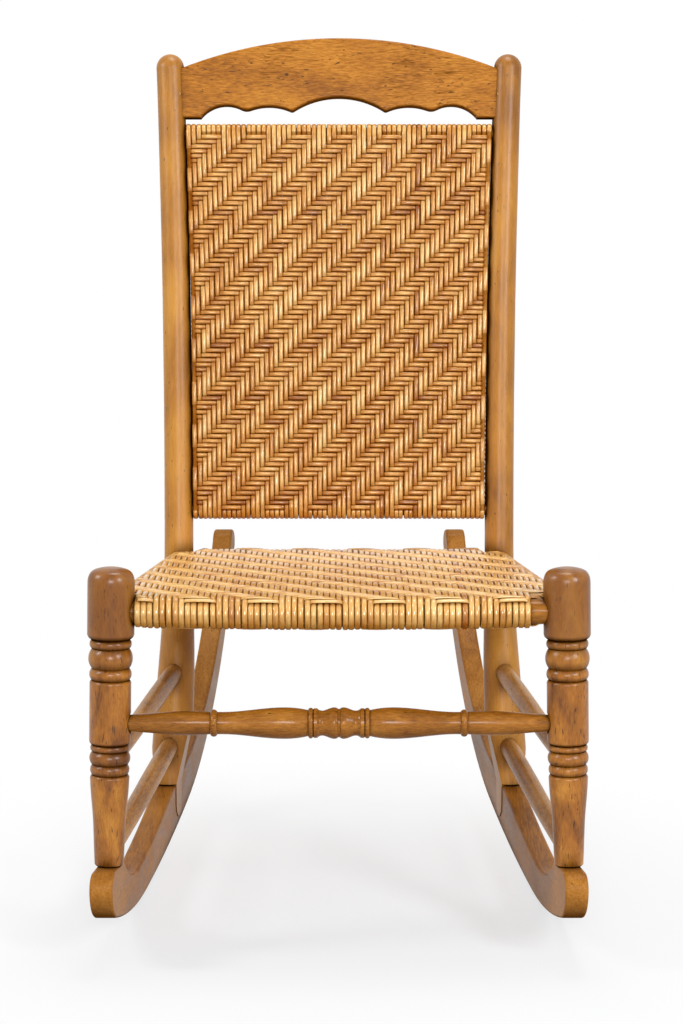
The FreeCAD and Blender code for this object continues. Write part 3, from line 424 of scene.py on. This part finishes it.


# Split bark strands, sealed: fine fibres along each and a tone of its own. It has painted shade where it
# dips under and on its undersides, and painted shade with some dirt where strands lie close.
def caneMaterial(name, kind):
    cane = canes[kind]
    material, tree, output = startMaterial(name)
    strandMap = addNode(tree, "ShaderNodeUVMap", uv_map="strandMap")
    place = addNode(tree, "ShaderNodeTexCoord")
    tone = addNode(tree, "ShaderNodeAttribute", attribute_name="strandTone")
    lift = addNode(tree, "ShaderNodeAttribute", attribute_name="strandLift")
    # u runs round the strand and v along it in mm: some sixteen fibres round, each about 20 mm long
    fibreMap = addNode(tree, "ShaderNodeMapping",
                       {"Scale": (bark["fibreRound"], bark["fibreAlong"] * cane["fibre"], 1.0)},
                       {"Vector": strandMap.outputs[0]})
    fibre = addNode(tree, "ShaderNodeTexNoise", bark["fibre"], {"Vector": fibreMap.outputs[0]})
    patch = addNode(tree, "ShaderNodeTexNoise", bark["patch"], {"Vector": place.outputs["Object"]})
    broad = addNode(tree, "ShaderNodeTexNoise", bark["broad"], {"Vector": place.outputs["Object"]})
    fibrePart, patchPart, broadPart, tonePart = bark["shares"]
    one = addNode(tree, "ShaderNodeMath", {1: fibrePart}, {0: fibre.outputs[0]}, operation="MULTIPLY")
    two = addNode(tree, "ShaderNodeMath", {1: patchPart}, {0: patch.outputs[0], 2: one.outputs[0]},
                  operation="MULTIPLY_ADD")
    three = addNode(tree, "ShaderNodeMath", {1: broadPart}, {0: broad.outputs[0], 2: two.outputs[0]},
                    operation="MULTIPLY_ADD")
    level = addNode(tree, "ShaderNodeMath", {1: tonePart}, {0: tone.outputs["Fac"], 2: three.outputs[0]},
                    operation="MULTIPLY_ADD")
    colours = [linear(cane[shade]) for shade in ("dark", "middle", "pale")]
    body = addNode(tree, "ShaderNodeValToRGB", links={"Fac": level.outputs[0]},
                   stops=list(zip(bark["levels"], colours)))
    # Painted shade, with some dirt, where strands lie close, and painted shade on a strand's low parts
    nook = addNode(tree, "ShaderNodeAmbientOcclusion", bark["nook"], samples=bark["nookSamples"])
    nookShadeAndDirt = addNode(tree, "ShaderNodeMapRange", span(*bark["nookShadeAndDirtReach"], cane["nookShadeAndDirt"], 0.0),
                   {0: nook.outputs["AO"]})
    dip = addNode(tree, "ShaderNodeMapRange", span(*cane["dip"], 0.0), {0: lift.outputs["Fac"]})
    # Painted shade, brown, on surfaces that face down, as where a strand turns under
    facing = addNode(tree, "ShaderNodeNewGeometry")
    parts = addNode(tree, "ShaderNodeSeparateXYZ", {}, {0: facing.outputs["Normal"]})
    below = addNode(tree, "ShaderNodeMapRange", span(*bark["belowReach"], 0.0, cane["below"]),
                    {0: parts.outputs["Z"]})
    hollow = addNode(tree, "ShaderNodeMath", {}, {0: nookShadeAndDirt.outputs[0], 1: dip.outputs[0]},
                     operation="MAXIMUM")
    shade = addNode(tree, "ShaderNodeMath", {}, {0: hollow.outputs[0], 1: below.outputs[0]},
                    operation="MAXIMUM")
    # Shaded parts go orange-brown before they go dark
    deepen = addNode(tree, "ShaderNodeMapRange", span(0.0, 1.0, 1.0, cane["deepen"]), {0: shade.outputs[0]})
    rich = addNode(tree, "ShaderNodeGamma", {}, {"Color": body.outputs[0], "Gamma": deepen.outputs[0]})
    share = addNode(tree, "ShaderNodeMath", {1: cane["gapShare"]}, {0: shade.outputs[0]},
                    operation="MULTIPLY")
    shadedAndAged = addNode(tree, "ShaderNodeMix", {7: linear(cane["gap"])},
                   {0: share.outputs[0], 6: rich.outputs[0]}, data_type="RGBA")
    fine = addNode(tree, "ShaderNodeMapRange", span(*bark["roughReach"], *cane["rough"]),
                   {0: fibre.outputs[0]})
    rough = addNode(tree, "ShaderNodeMath", {1: bark["shadeRough"]},
                    {0: shade.outputs[0], 2: fine.outputs[0]}, operation="MULTIPLY_ADD")
    bump = addNode(tree, "ShaderNodeBump", {"Strength": cane["bump"], "Distance": bark["bumpDistance"]},
                   {"Height": fibre.outputs[0]})
    gloss = addNode(tree, "ShaderNodeMapRange", span(*bark["dullReach"], cane["gloss"], 0.0),
                    {0: shade.outputs[0]})
    shader = addNode(tree, "ShaderNodeBsdfPrincipled", {"IOR": bark["ior"]},
                     {"Base Color": shadedAndAged.outputs[2], "Roughness": rough.outputs[0],
                      "Normal": bump.outputs[0], "Specular IOR Level": gloss.outputs[0]})
    tree.links.new(shader.outputs[0], output.inputs["Surface"])
    return material


# Where a closed loop round a slab's section runs at the length t, and which way is out there.
def loopPlace(t, low, high, depth, corner):
    flat, bend, end = high - low - 2 * corner, corner * math.pi / 2, 2 * (depth - corner)
    t = t % (2 * (flat + end) + 4 * bend)
    corners = [((high - corner, corner - depth), -90), ((high - corner, depth - corner), 0),
               ((low + corner, depth - corner), 90), ((low + corner, corner - depth), 180)]
    runs = [((low + corner, -depth), (1, 0), flat), ((high, corner - depth), (0, 1), end),
            ((high - corner, depth), (-1, 0), flat), ((low, depth - corner), (0, -1), end)]
    for (start, way, length), (centre, angle) in zip(runs, corners):
        if t <= length:
            return (start[0] + way[0] * t, start[1] + way[1] * t), (way[1], -way[0])
        t -= length
        if t <= bend:
            turn = math.radians(angle) + t / corner
            out = (math.cos(turn), math.sin(turn))
            return (centre[0] + corner * out[0], centre[1] + corner * out[1]), out
        t -= bend
    return runs[0][0], (0, -1)


def smoothStep(low, high, value):
    share = min(1.0, max(0.0, (value - low) / (high - low)))
    return share * share * (3 - 2 * share)


# A closed strand's stations. Marks are (place, crossing, face), and may reach round the bends; face 0 is
# the shown one. Gives each station's place, its way out, the strand that it crosses or None, and how far
# behind it is, from 0 on the shown face to 1 on the other.
def roundedLoop(low, high, depth, corner, marks):
    flat, bend, end = high - low - 2 * corner, corner * math.pi / 2, 2 * (depth - corner)
    total = 2 * (flat + end) + 4 * bend
    stations = []
    for place, crossing, face in marks:
        if low + corner - bend < place < high - corner + bend:
            onFace = place - low - corner if face == 0 else flat + 2 * bend + end + high - corner - place
            stations.append((onFace % total, crossing))
    taken = sorted(t for t, crossing in stations)
    steps, clear = ringShape["bendStations"], ringShape["bendClear"]
    for start in (flat, flat + bend + end, 2 * flat + 2 * bend + end, 2 * flat + 3 * bend + 2 * end):
        for k in range(steps):
            t = start + bend * k / (steps - 1)
            if all(min(abs(t - other), total - abs(t - other)) > clear for other in taken):
                stations.append((t % total, None))
    stations.sort(key=lambda station: station[0])
    found = [loopPlace(t, low, high, depth, corner) for t, crossing in stations]
    turned, turnsBack = flat + 2 * bend + end, 2 * flat + 2 * bend + end
    behind = np.array([smoothStep(flat, turned, t) - smoothStep(turnsBack, total, t)
                       for t, crossing in stations])
    return (np.array([place for place, out in found]), np.array([out for place, out in found]),
            [crossing for t, crossing in stations], behind)


# What differs from strand to strand. The drift is two waves, whose paces are in radians a mm.
handWork = {
    "seed": 7, "brownShare": 0.05, "brownDrop": 1.0,
    "start": (0, 6.28), "slowPace": (0.008, 0.016), "quickPace": (0.02, 0.035), "slow": 0.6, "quick": 0.4,
}
chance = random.Random(handWork["seed"])


# How pale a strand is, about 0 to 1. One in twenty is brown, cut nearer the bark's outside.
def strandTone(low, high):
    tone = chance.uniform(low, high)
    isBrown = chance.random() < handWork["brownShare"]
    return tone - (handWork["brownDrop"] if isBrown else 0.0)


# A slow sideways drift along a strand, as hand weaving leaves it.
def wander(size, steps):
    slowStart = chance.uniform(*handWork["start"])
    quickStart = chance.uniform(*handWork["start"])
    slowPace = chance.uniform(*handWork["slowPace"])
    quickPace = chance.uniform(*handWork["quickPace"])
    return size * (handWork["slow"] * np.sin(steps * slowPace + slowStart)
                   + handWork["quick"] * np.sin(steps * quickPace + quickStart))


# The back's weave, up the posts from the seat rails, in mm. On the bends a strand stands out by bendShare
# of its lift, and is coloured as if it lay shownLift high.
backWeave = {
    "low": 47.5, "high": 516.5, "middle": 10.3, "corner": 7.0, "rowCorner": 6.0,
    "uprights": 61, "rows": 79, "firstRow": 60.6, "rowStep": 5.637,
    "period": 9, "over": 4, "phase": 3,
    "uprightWidth": 5.68, "widthAt": 300, "rowWidth": 5.48, "thick": 2.3, "lift": 1.15, "crown": 0.7,
    "bendShare": 0.5, "shownLift": 1.9, "sideways": 0.3,
    "edgeSpread": 0.4, "postClear": 0.12,
    "widthChance": (0.95, 1.03), "uprightChance": 0.25, "rowChance": 0.2, "drift": 0.35,
    "uprightTones": (0.35, 1.15), "rowTones": (0.05, 0.7),
}
posts = {
    "seatSpread": 380.0, "topSpread": 402.0, "rise": 584.0, "seatRadius": 17.2, "topRadius": 16.4,
    "gap": 0.8,
}


# Half the width between the posts, at a rise up the back.
def backHalfWidth(rise):
    share = rise / posts["rise"]
    spread = (posts["seatSpread"] + (posts["topSpread"] - posts["seatSpread"]) * share ** 2) / 2
    radius = posts["seatRadius"] + (posts["topRadius"] - posts["seatRadius"]) * share
    return spread - radius - posts["gap"]


# From across, up the back and its depth, to the upright chair.
def backToChair(points):
    rake = math.radians(chair["rake"])
    x, rise, depth = points[..., 0], points[..., 1], points[..., 2]
    out = np.empty_like(points)
    out[..., 0] = x
    out[..., 1] = chair["seatDepth"] + rise * math.sin(rake) + depth * math.cos(rake)
    out[..., 2] = chair["railHeight"] + rise * math.cos(rake) - depth * math.sin(rake)
    return out


# How far a strand stands out at a place in its float: run is the float's length in strands.
def strandLift(isOver, run, position, weave):
    swell = math.sin(math.pi * (position + 0.5) / run)
    return weave["lift"] + weave["crown"] * swell if isOver else -weave["lift"]


# How far a crossing is along the twill's period. In its first part the row lies over the upright.
def backPhase(column, row):
    return (column - row + backWeave["phase"]) % backWeave["period"]


def weaveBack():
    b = backWeave
    depth = b["middle"]
    lowMid, highMid = b["low"] + b["thick"] / 2, b["high"] - b["thick"] / 2
    rowPlaces = [b["firstRow"] + b["rowStep"] * r for r in range(b["rows"])]
    # Each row climbs half a step behind the panel, as one strand wound on and on does
    marks = [(m + (side / 4 + face / 2) * b["rowStep"], r, face)
             for r, m in enumerate(rowPlaces) for side in (-1, 1) for face in (0, 1)]
    uprights = []
    for c in range(b["uprights"]):
        share = (c + 0.5) / b["uprights"] * 2 - 1
        wide = b["uprightWidth"] * chance.uniform(*b["widthChance"])
        spots, ways, crossings = roundedLoop(lowMid, highMid, depth, b["corner"], marks)[:3]
        lifts = np.full(len(spots), b["lift"] * b["bendShare"])
        for k, r in enumerate(crossings):
            if r is None:
                continue
            phase = backPhase(c, r)
            lifts[k] = strandLift(phase >= b["over"], b["period"] - b["over"], phase - b["over"], b)
        half = np.array([backHalfWidth(r) for r in spots[:, 0]])
        aside = chance.uniform(-b["uprightChance"], b["uprightChance"])
        x = share * (half + b["edgeSpread"]) + aside + wander(b["drift"], spots[:, 0])
        centres = np.stack([x, spots[:, 0] + ways[:, 0] * lifts, spots[:, 1] + ways[:, 1] * lifts], 1)
        normals = np.stack([np.zeros(len(spots)), ways[:, 0], ways[:, 1]], 1)
        widths = wide * half / backHalfWidth(b["widthAt"])
        shown = np.where([r is None for r in crossings], b["shownLift"], lifts)
        uprights.append((centres, normals, widths, b["thick"], shown, strandTone(*b["uprightTones"]), False))
    rows = []
    for r, rise in enumerate(rowPlaces):
        half = backHalfWidth(rise) + posts["gap"] - b["postClear"]
        step = 2 * (backHalfWidth(rise) + b["edgeSpread"]) / b["uprights"]
        marks = [((c + 0.5 + side / 4 - b["uprights"] / 2) * step, c, face)
                 for c in range(b["uprights"]) for side in (-1, 1) for face in (0, 1)]
        edge = half - b["thick"] / 2
        spots, ways, crossings, behind = roundedLoop(-edge, edge, depth, b["rowCorner"], marks)
        lifts = np.zeros(len(spots))
        for k, c in enumerate(crossings):
            if c is None or abs(ways[k][0]) > b["sideways"]:
                continue
            phase = backPhase(c, r)
            lifts[k] = strandLift(phase < b["over"], b["over"], phase, b)
        aside = chance.uniform(-b["rowChance"], b["rowChance"])
        climb = rise + aside + wander(b["drift"], spots[:, 0]) + behind * b["rowStep"] / 2
        centres = np.stack([spots[:, 0] + ways[:, 0] * lifts, climb, spots[:, 1] + ways[:, 1] * lifts], 1)
        normals = np.stack([ways[:, 0], np.zeros(len(spots)), ways[:, 1]], 1)
        wide = np.full(len(spots), b["rowWidth"] * chance.uniform(*b["widthChance"]))
        rows.append((centres, normals, wide, b["thick"], lifts, strandTone(*b["rowTones"]), False))
    cane = caneMaterial("honeyCane", "back")
    half = len(uprights) // 2
    strandObject("back_uprights_a", uprights[:half], "back_weave", cane, backToChair)
    strandObject("back_uprights_b", uprights[half:], "back_weave", cane, backToChair)
    half = len(rows) // 2
    strandObject("back_rows_a", rows[:half], "back_weave", cane, backToChair)
    strandObject("back_rows_b", rows[half:], "back_weave", cane, backToChair)


weaveBack()
print("back woven")

# The seat's weave in mm, measured back from the front legs' axes, in the plane of the seat rails, which
# falls 5.5 mm over the seat's depth. The outermost warps start behind the legs.
seatWeave = {
    "front": -16.75, "frontShare": 0.6, "rear": 414.5, "middle": 15.2, "corner": 14.4, "sideCorner": 9.0,
    "slope": math.degrees(math.atan(5.5 / chair["seatDepth"])),
    "warps": 63, "firstWarp": -212.6, "warpStep": 6.64, "extraWarps": 3, "endDip": 1.9, "shortest": 12,
    "rows": 65, "firstRow": -9.0, "rowStep": 6.5, "spareMarks": (6, 8),
    "period": 10, "over": 5, "phase": 2,
    "warpWidth": 6.5, "rowWidth": 5.9, "thick": 2.1, "lift": 1.15, "crown": 0.7,
    "bendShare": 0.3, "shownLift": 1.9, "topNarrow": 0.97,
    "sag": 2.4, "sagHalf": 225, "sagFade": 0.6,
    "sideHalf": 247.6, "sideTaper": 0.12125, "sideClear": 0.3,
    "legX": 241.0, "legRadius": 25.7, "legGap": 4,
    "postX": 190.0, "postRadius": 17.9, "postGap": 3, "besidePost": 0.6,
    "overFront": -99.0, "endSlack": 1,
    "warpWidths": (0.93, 1.03), "rowWidths": (0.94, 1.04),
    "warpChance": 0.2, "rowChance": 0.3, "drift": 0.45,
    "warpTones": (0.1, 1.0), "rowTones": (0.3, 1.0),
}


# From across, back and height over the rails' plane, to the upright chair.
def seatToChair(points):
    s = seatWeave
    slope = math.radians(s["slope"])
    x, back, height = points[..., 0], points[..., 1], points[..., 2]
    # The weave hangs a little lower in the middle of its width, most at the front
    give = (np.clip(1 - (x / s["sagHalf"]) ** 2, 0, 1)
            * (1 - s["sagFade"] * np.clip(back / chair["seatDepth"], 0, 1)))
    height = height - s["sag"] * give
    out = np.empty_like(points)
    out[..., 0] = x
    out[..., 1] = back * math.cos(slope) + height * math.sin(slope)
    out[..., 2] = chair["railHeight"] - back * math.sin(slope) + height * math.cos(slope)
    return out


# Half the width that a crossing row has there, kept inside the legs and the posts.
def seatHalfWidth(back):
    s = seatWeave
    half = s["sideHalf"] - s["sideTaper"] * back
    if abs(back) < s["legRadius"]:
        half = min(half, s["legX"] - math.sqrt(s["legRadius"] ** 2 - back ** 2))
    fromPost = abs(back - chair["seatDepth"])
    if fromPost < s["postRadius"]:
        half = min(half, s["postX"] - math.sqrt(s["postRadius"] ** 2 - fromPost ** 2))
    elif back > chair["seatDepth"]:
        half = min(half, s["postX"])
    return half


# How far a crossing is along the twill's period. In its first part the row lies over the warp.
def seatPhase(column, row):
    return (column + row + seatWeave["phase"]) % seatWeave["period"]


# From where to where a warp runs on the seat's top, front to back. One that starts at overFront comes over
# the front rail, and one that ends behind the posts' axes goes over the rear rail.
def warpReach(column):
    s = seatWeave
    reach = abs(s["firstWarp"] + s["warpStep"] * column) + s["warpWidth"] / 2
    start = s["overFront"] if 0 <= column < s["warps"] else s["legRadius"] + s["legGap"]
    if reach <= s["postX"] - s["postRadius"] - s["besidePost"]:
        return start, s["rear"] - s["thick"]
    atSide = (s["sideHalf"] - s["sideCorner"] - reach) / s["sideTaper"]
    return start, min(chair["seatDepth"] - s["postRadius"] - s["postGap"], atSide)


# A warp's strands, each as (spots, ways, crossings, isOpen). A full one is a closed loop. One that ends at
# the seat's side is cut there above and below, its ends tucked in. One that also starts behind a leg is two
# lengths, above and below.
def warpParts(frontMid, start, end, marks):
    s = seatWeave
    corner, depth = s["corner"], s["middle"]
    if end > chair["seatDepth"]:
        return [roundedLoop(frontMid, end, depth, corner, marks)[:3] + (False,)]
    if start < 0:
        spots, ways, crossings = roundedLoop(frontMid, end + corner, depth, corner, marks)[:3]
        beyond = [k for k in range(len(spots)) if spots[k][0] > end]
        order = list(range(beyond[-1] + 1, len(spots))) + list(range(beyond[0]))
        return [(spots[order], ways[order], [crossings[k] for k in order], True)]
    parts = []
    for face in (0, 1):
        mine = sorted((m, r) for m, r, f in marks if f == face and start < m < end)
        spots = np.array([(m, -depth if face == 0 else depth) for m, r in mine])
        ways = np.array([(0.0, -1.0 if face == 0 else 1.0)] * len(mine))
        parts.append((spots, ways, [r for m, r in mine], True))
    return parts


def weaveSeat():
    s = seatWeave
    depth = s["middle"]
    frontMid = s["front"] + s["thick"] * s["frontShare"]
    rowPlaces = [s["firstRow"] + s["rowStep"] * r for r in range(s["rows"])]
    marks = [(m + side * s["rowStep"] / 4, r, face)
             for r, m in enumerate(rowPlaces) for side in (-1, 1) for face in (0, 1)
             if face == 0 or m > frontMid + s["corner"]]
    warps = []
    for c in range(-s["extraWarps"], s["warps"] + s["extraWarps"]):
        middle = s["firstWarp"] + s["warpStep"] * c
        tone = strandTone(*s["warpTones"])
        start, end = warpReach(c)
        if end < start + s["shortest"]:
            continue
        for spots, ways, crossings, isOpen in warpParts(frontMid, start, end, marks):
            lifts = np.full(len(spots), s["lift"] * s["bendShare"])
            wide = np.full(len(spots), s["warpWidth"] * chance.uniform(*s["warpWidths"]))
            for k, r in enumerate(crossings):
                if r is None:
                    continue
                phase = seatPhase(c, r)
                lifts[k] = strandLift(phase >= s["over"], s["period"] - s["over"], phase - s["over"], s)
                wide[k] *= s["topNarrow"]
            shown = np.where([r is None for r in crossings], s["shownLift"], lifts)
            if isOpen:
                lifts[0] = lifts[-1] = -s["endDip"]
            x = middle + chance.uniform(-s["warpChance"], s["warpChance"]) + wander(s["drift"], spots[:, 0])
            # The loop's shown face is at -depth, so the seat's top is that face turned up
            centres = np.stack([x, spots[:, 0] + ways[:, 0] * lifts, -(spots[:, 1] + ways[:, 1] * lifts)], 1)
            normals = np.stack([np.zeros(len(spots)), ways[:, 0], -ways[:, 1]], 1)
            warps.append((centres, normals, wide, s["thick"], shown, tone, isOpen))
    rows = []
    before, after = s["spareMarks"]
    for r, unrolled in enumerate(rowPlaces):
        # The first row lies on the front bend, where the slab is thinner and out is tipped forward
        bent = min(0.0, (unrolled - frontMid - s["corner"]) / s["corner"])
        back = unrolled if bent == 0 else frontMid + s["corner"] + s["corner"] * math.sin(bent)
        rowDepth = depth - s["corner"] * (1 - math.cos(bent))
        half = seatHalfWidth(back) - s["sideClear"]
        marks = [(s["firstWarp"] + s["warpStep"] * (c + side / 4), c, face)
                 for c in range(-before, s["warps"] + after) for side in (-1, 1) for face in (0, 1)]
        if bent < 0:
            # Its ends are tucked in by the legs
            mine = sorted((m, c) for m, c, face in marks if face == 0 and 0 <= c < s["warps"])
            spots = np.array([(m, -rowDepth) for m, c in mine])
            ways = np.array([(0.0, -1.0)] * len(mine))
            crossings, behind = [c for m, c in mine], np.zeros(len(mine))
        else:
            edge, corner = half - s["thick"] / 2, min(s["sideCorner"], rowDepth)
            spots, ways, crossings, behind = roundedLoop(-edge, edge, rowDepth, corner, marks)
        lifts = np.zeros(len(spots))
        for k, c in enumerate(crossings):
            if c is None or bent == 0 and abs(spots[k][0]) > half - s["sideCorner"]:
                continue
            start, end = warpReach(c)
            if not start - s["endSlack"] < back < end + s["endSlack"]:
                continue
            phase = seatPhase(c, r)
            lifts[k] = strandLift(phase < s["over"], s["over"], phase, s)
        if bent < 0:
            lifts[[0, -1]] = -s["endDip"]
        flatOut = np.abs(ways[:, 1]) * math.sin(bent) * (1 - behind)
        aside = chance.uniform(-s["rowChance"], s["rowChance"])
        centres = np.stack([spots[:, 0] + ways[:, 0] * lifts,
                            back + aside + flatOut * lifts + wander(s["drift"], spots[:, 0]),
                            -(spots[:, 1] + ways[:, 1] * lifts * math.cos(bent))], 1)
        normals = np.stack([ways[:, 0], flatOut, -ways[:, 1] * math.cos(bent)], 1)
        wide = np.full(len(spots), s["rowWidth"] * chance.uniform(*s["rowWidths"]))
        rows.append((centres, normals, wide, s["thick"], lifts, strandTone(*s["rowTones"]), bent < 0))
    cane = caneMaterial("paleCane", "seat")
    half = len(warps) // 2
    strandObject("seat_warps_a", warps[:half], "seat_weave", cane, seatToChair)
    strandObject("seat_warps_b", warps[half:], "seat_weave", cane, seatToChair)
    half = len(rows) // 2
    strandObject("seat_rows_a", rows[:half], "seat_weave", cane, seatToChair)
    strandObject("seat_rows_b", rows[half:], "seat_weave", cane, seatToChair)


weaveSeat()
print("seat woven")

# Studio: a plain pale floor, a white world for the camera, and four soft lamps. The floor goes to plain
# white from nearFloor to farFloor, in metres from the shifted and squeezed middle.
studio = {
    "floor": "#f2f5fa", "floorSize": 14.0, "bounce": 0.85,
    "shift": (0.0, 0.33, 0.0), "squeeze": (0.8, 1.0, 1.0),
    "nearFloor": 0.12, "farFloor": 0.52, "floorGlow": 0.66,
    "world": 0.12,
    "lamps": [
        {"name": "softboxLeft", "place": (-2.2, -0.5, 1.9), "size": (0.4, 0.8), "power": 25},
        {"name": "softboxRight", "place": (1.9, -2.0, 1.9), "size": (0.5, 0.9), "power": 40},
        {"name": "softboxTop", "place": (0.2, 0.4, 2.8), "size": (1.0, 0.7), "power": 25},
        {"name": "softboxFront", "place": (0.0, -3.9, 2.0), "size": (1.1, 0.45), "power": 54},
    ],
    "aim": (0.0, 0.0, 0.45),
}


# 1 where the camera looks, straight, by a mirror or through glass, and 0 for light that falls on things.
def lookedAt(tree):
    path = addNode(tree, "ShaderNodeLightPath")
    seen = addNode(tree, "ShaderNodeMath", {},
                   {0: path.outputs["Is Camera Ray"], 1: path.outputs["Is Glossy Ray"]},
                   operation="MAXIMUM")
    shown = addNode(tree, "ShaderNodeMath", {},
                    {0: seen.outputs[0], 1: path.outputs["Is Transmission Ray"]}, operation="MAXIMUM")
    return shown.outputs[0]


bpy.ops.mesh.primitive_plane_add(size=studio["floorSize"], location=(0, 0, 0))
floor = bpy.context.object
floor.name = "floor"
material, tree, output = startMaterial("paleFloor")
# Matt pale floor near the chair, which takes its shadow, fading to plain white further off
pale = addNode(tree, "ShaderNodeBsdfDiffuse", {"Color": linear(studio["floor"])})
dull = addNode(tree, "ShaderNodeBsdfDiffuse", {"Color": grey(studio["bounce"])})
glow = addNode(tree, "ShaderNodeEmission", {"Color": grey(1.0), "Strength": 1.0})
place = addNode(tree, "ShaderNodeTexCoord")
under = addNode(tree, "ShaderNodeMapping", {"Location": studio["shift"], "Scale": studio["squeeze"]},
                {"Vector": place.outputs["Object"]})
away = addNode(tree, "ShaderNodeVectorMath", {}, {0: under.outputs["Vector"]}, operation="LENGTH")
fade = addNode(tree, "ShaderNodeMapRange",
               span(studio["nearFloor"], studio["farFloor"], studio["floorGlow"], 1.0),
               {0: away.outputs["Value"]}, interpolation_type="SMOOTHSTEP")
shown = lookedAt(tree)
matt = addNode(tree, "ShaderNodeMixShader", {}, {0: shown, 1: dull.outputs[0], 2: pale.outputs[0]})
share = addNode(tree, "ShaderNodeMath", {}, {0: fade.outputs[0], 1: shown}, operation="MULTIPLY")
mixed = addNode(tree, "ShaderNodeMixShader", {},
                {0: share.outputs[0], 1: matt.outputs[0], 2: glow.outputs[0]})
tree.links.new(mixed.outputs[0], output.inputs["Surface"])
floor.data.materials.append(material)
floor.select_set(False)

world = bpy.data.worlds.new("studioWorld")
bpy.context.scene.world = world
world.use_nodes = True
tree = world.node_tree
tree.nodes.clear()
dim = addNode(tree, "ShaderNodeBackground", {"Color": grey(1.0), "Strength": studio["world"]})
bright = addNode(tree, "ShaderNodeBackground", {"Color": grey(1.0), "Strength": 1.0})
mixed = addNode(tree, "ShaderNodeMixShader", {},
                {0: lookedAt(tree), 1: dim.outputs[0], 2: bright.outputs[0]})
addNode(tree, "ShaderNodeOutputWorld", {}, {"Surface": mixed.outputs[0]})

for lamp in studio["lamps"]:
    aim = Vector(studio["aim"]) - Vector(lamp["place"])
    turn = aim.to_track_quat("-Z", "Y").to_euler()
    bpy.ops.object.light_add(type="AREA", location=lamp["place"], rotation=turn)
    light = bpy.context.object
    light.name = lamp["name"]
    light.data.shape = "RECTANGLE"
    light.data.size, light.data.size_y = lamp["size"]
    light.data.energy = lamp["power"]
    light.select_set(False)
print("studio set")
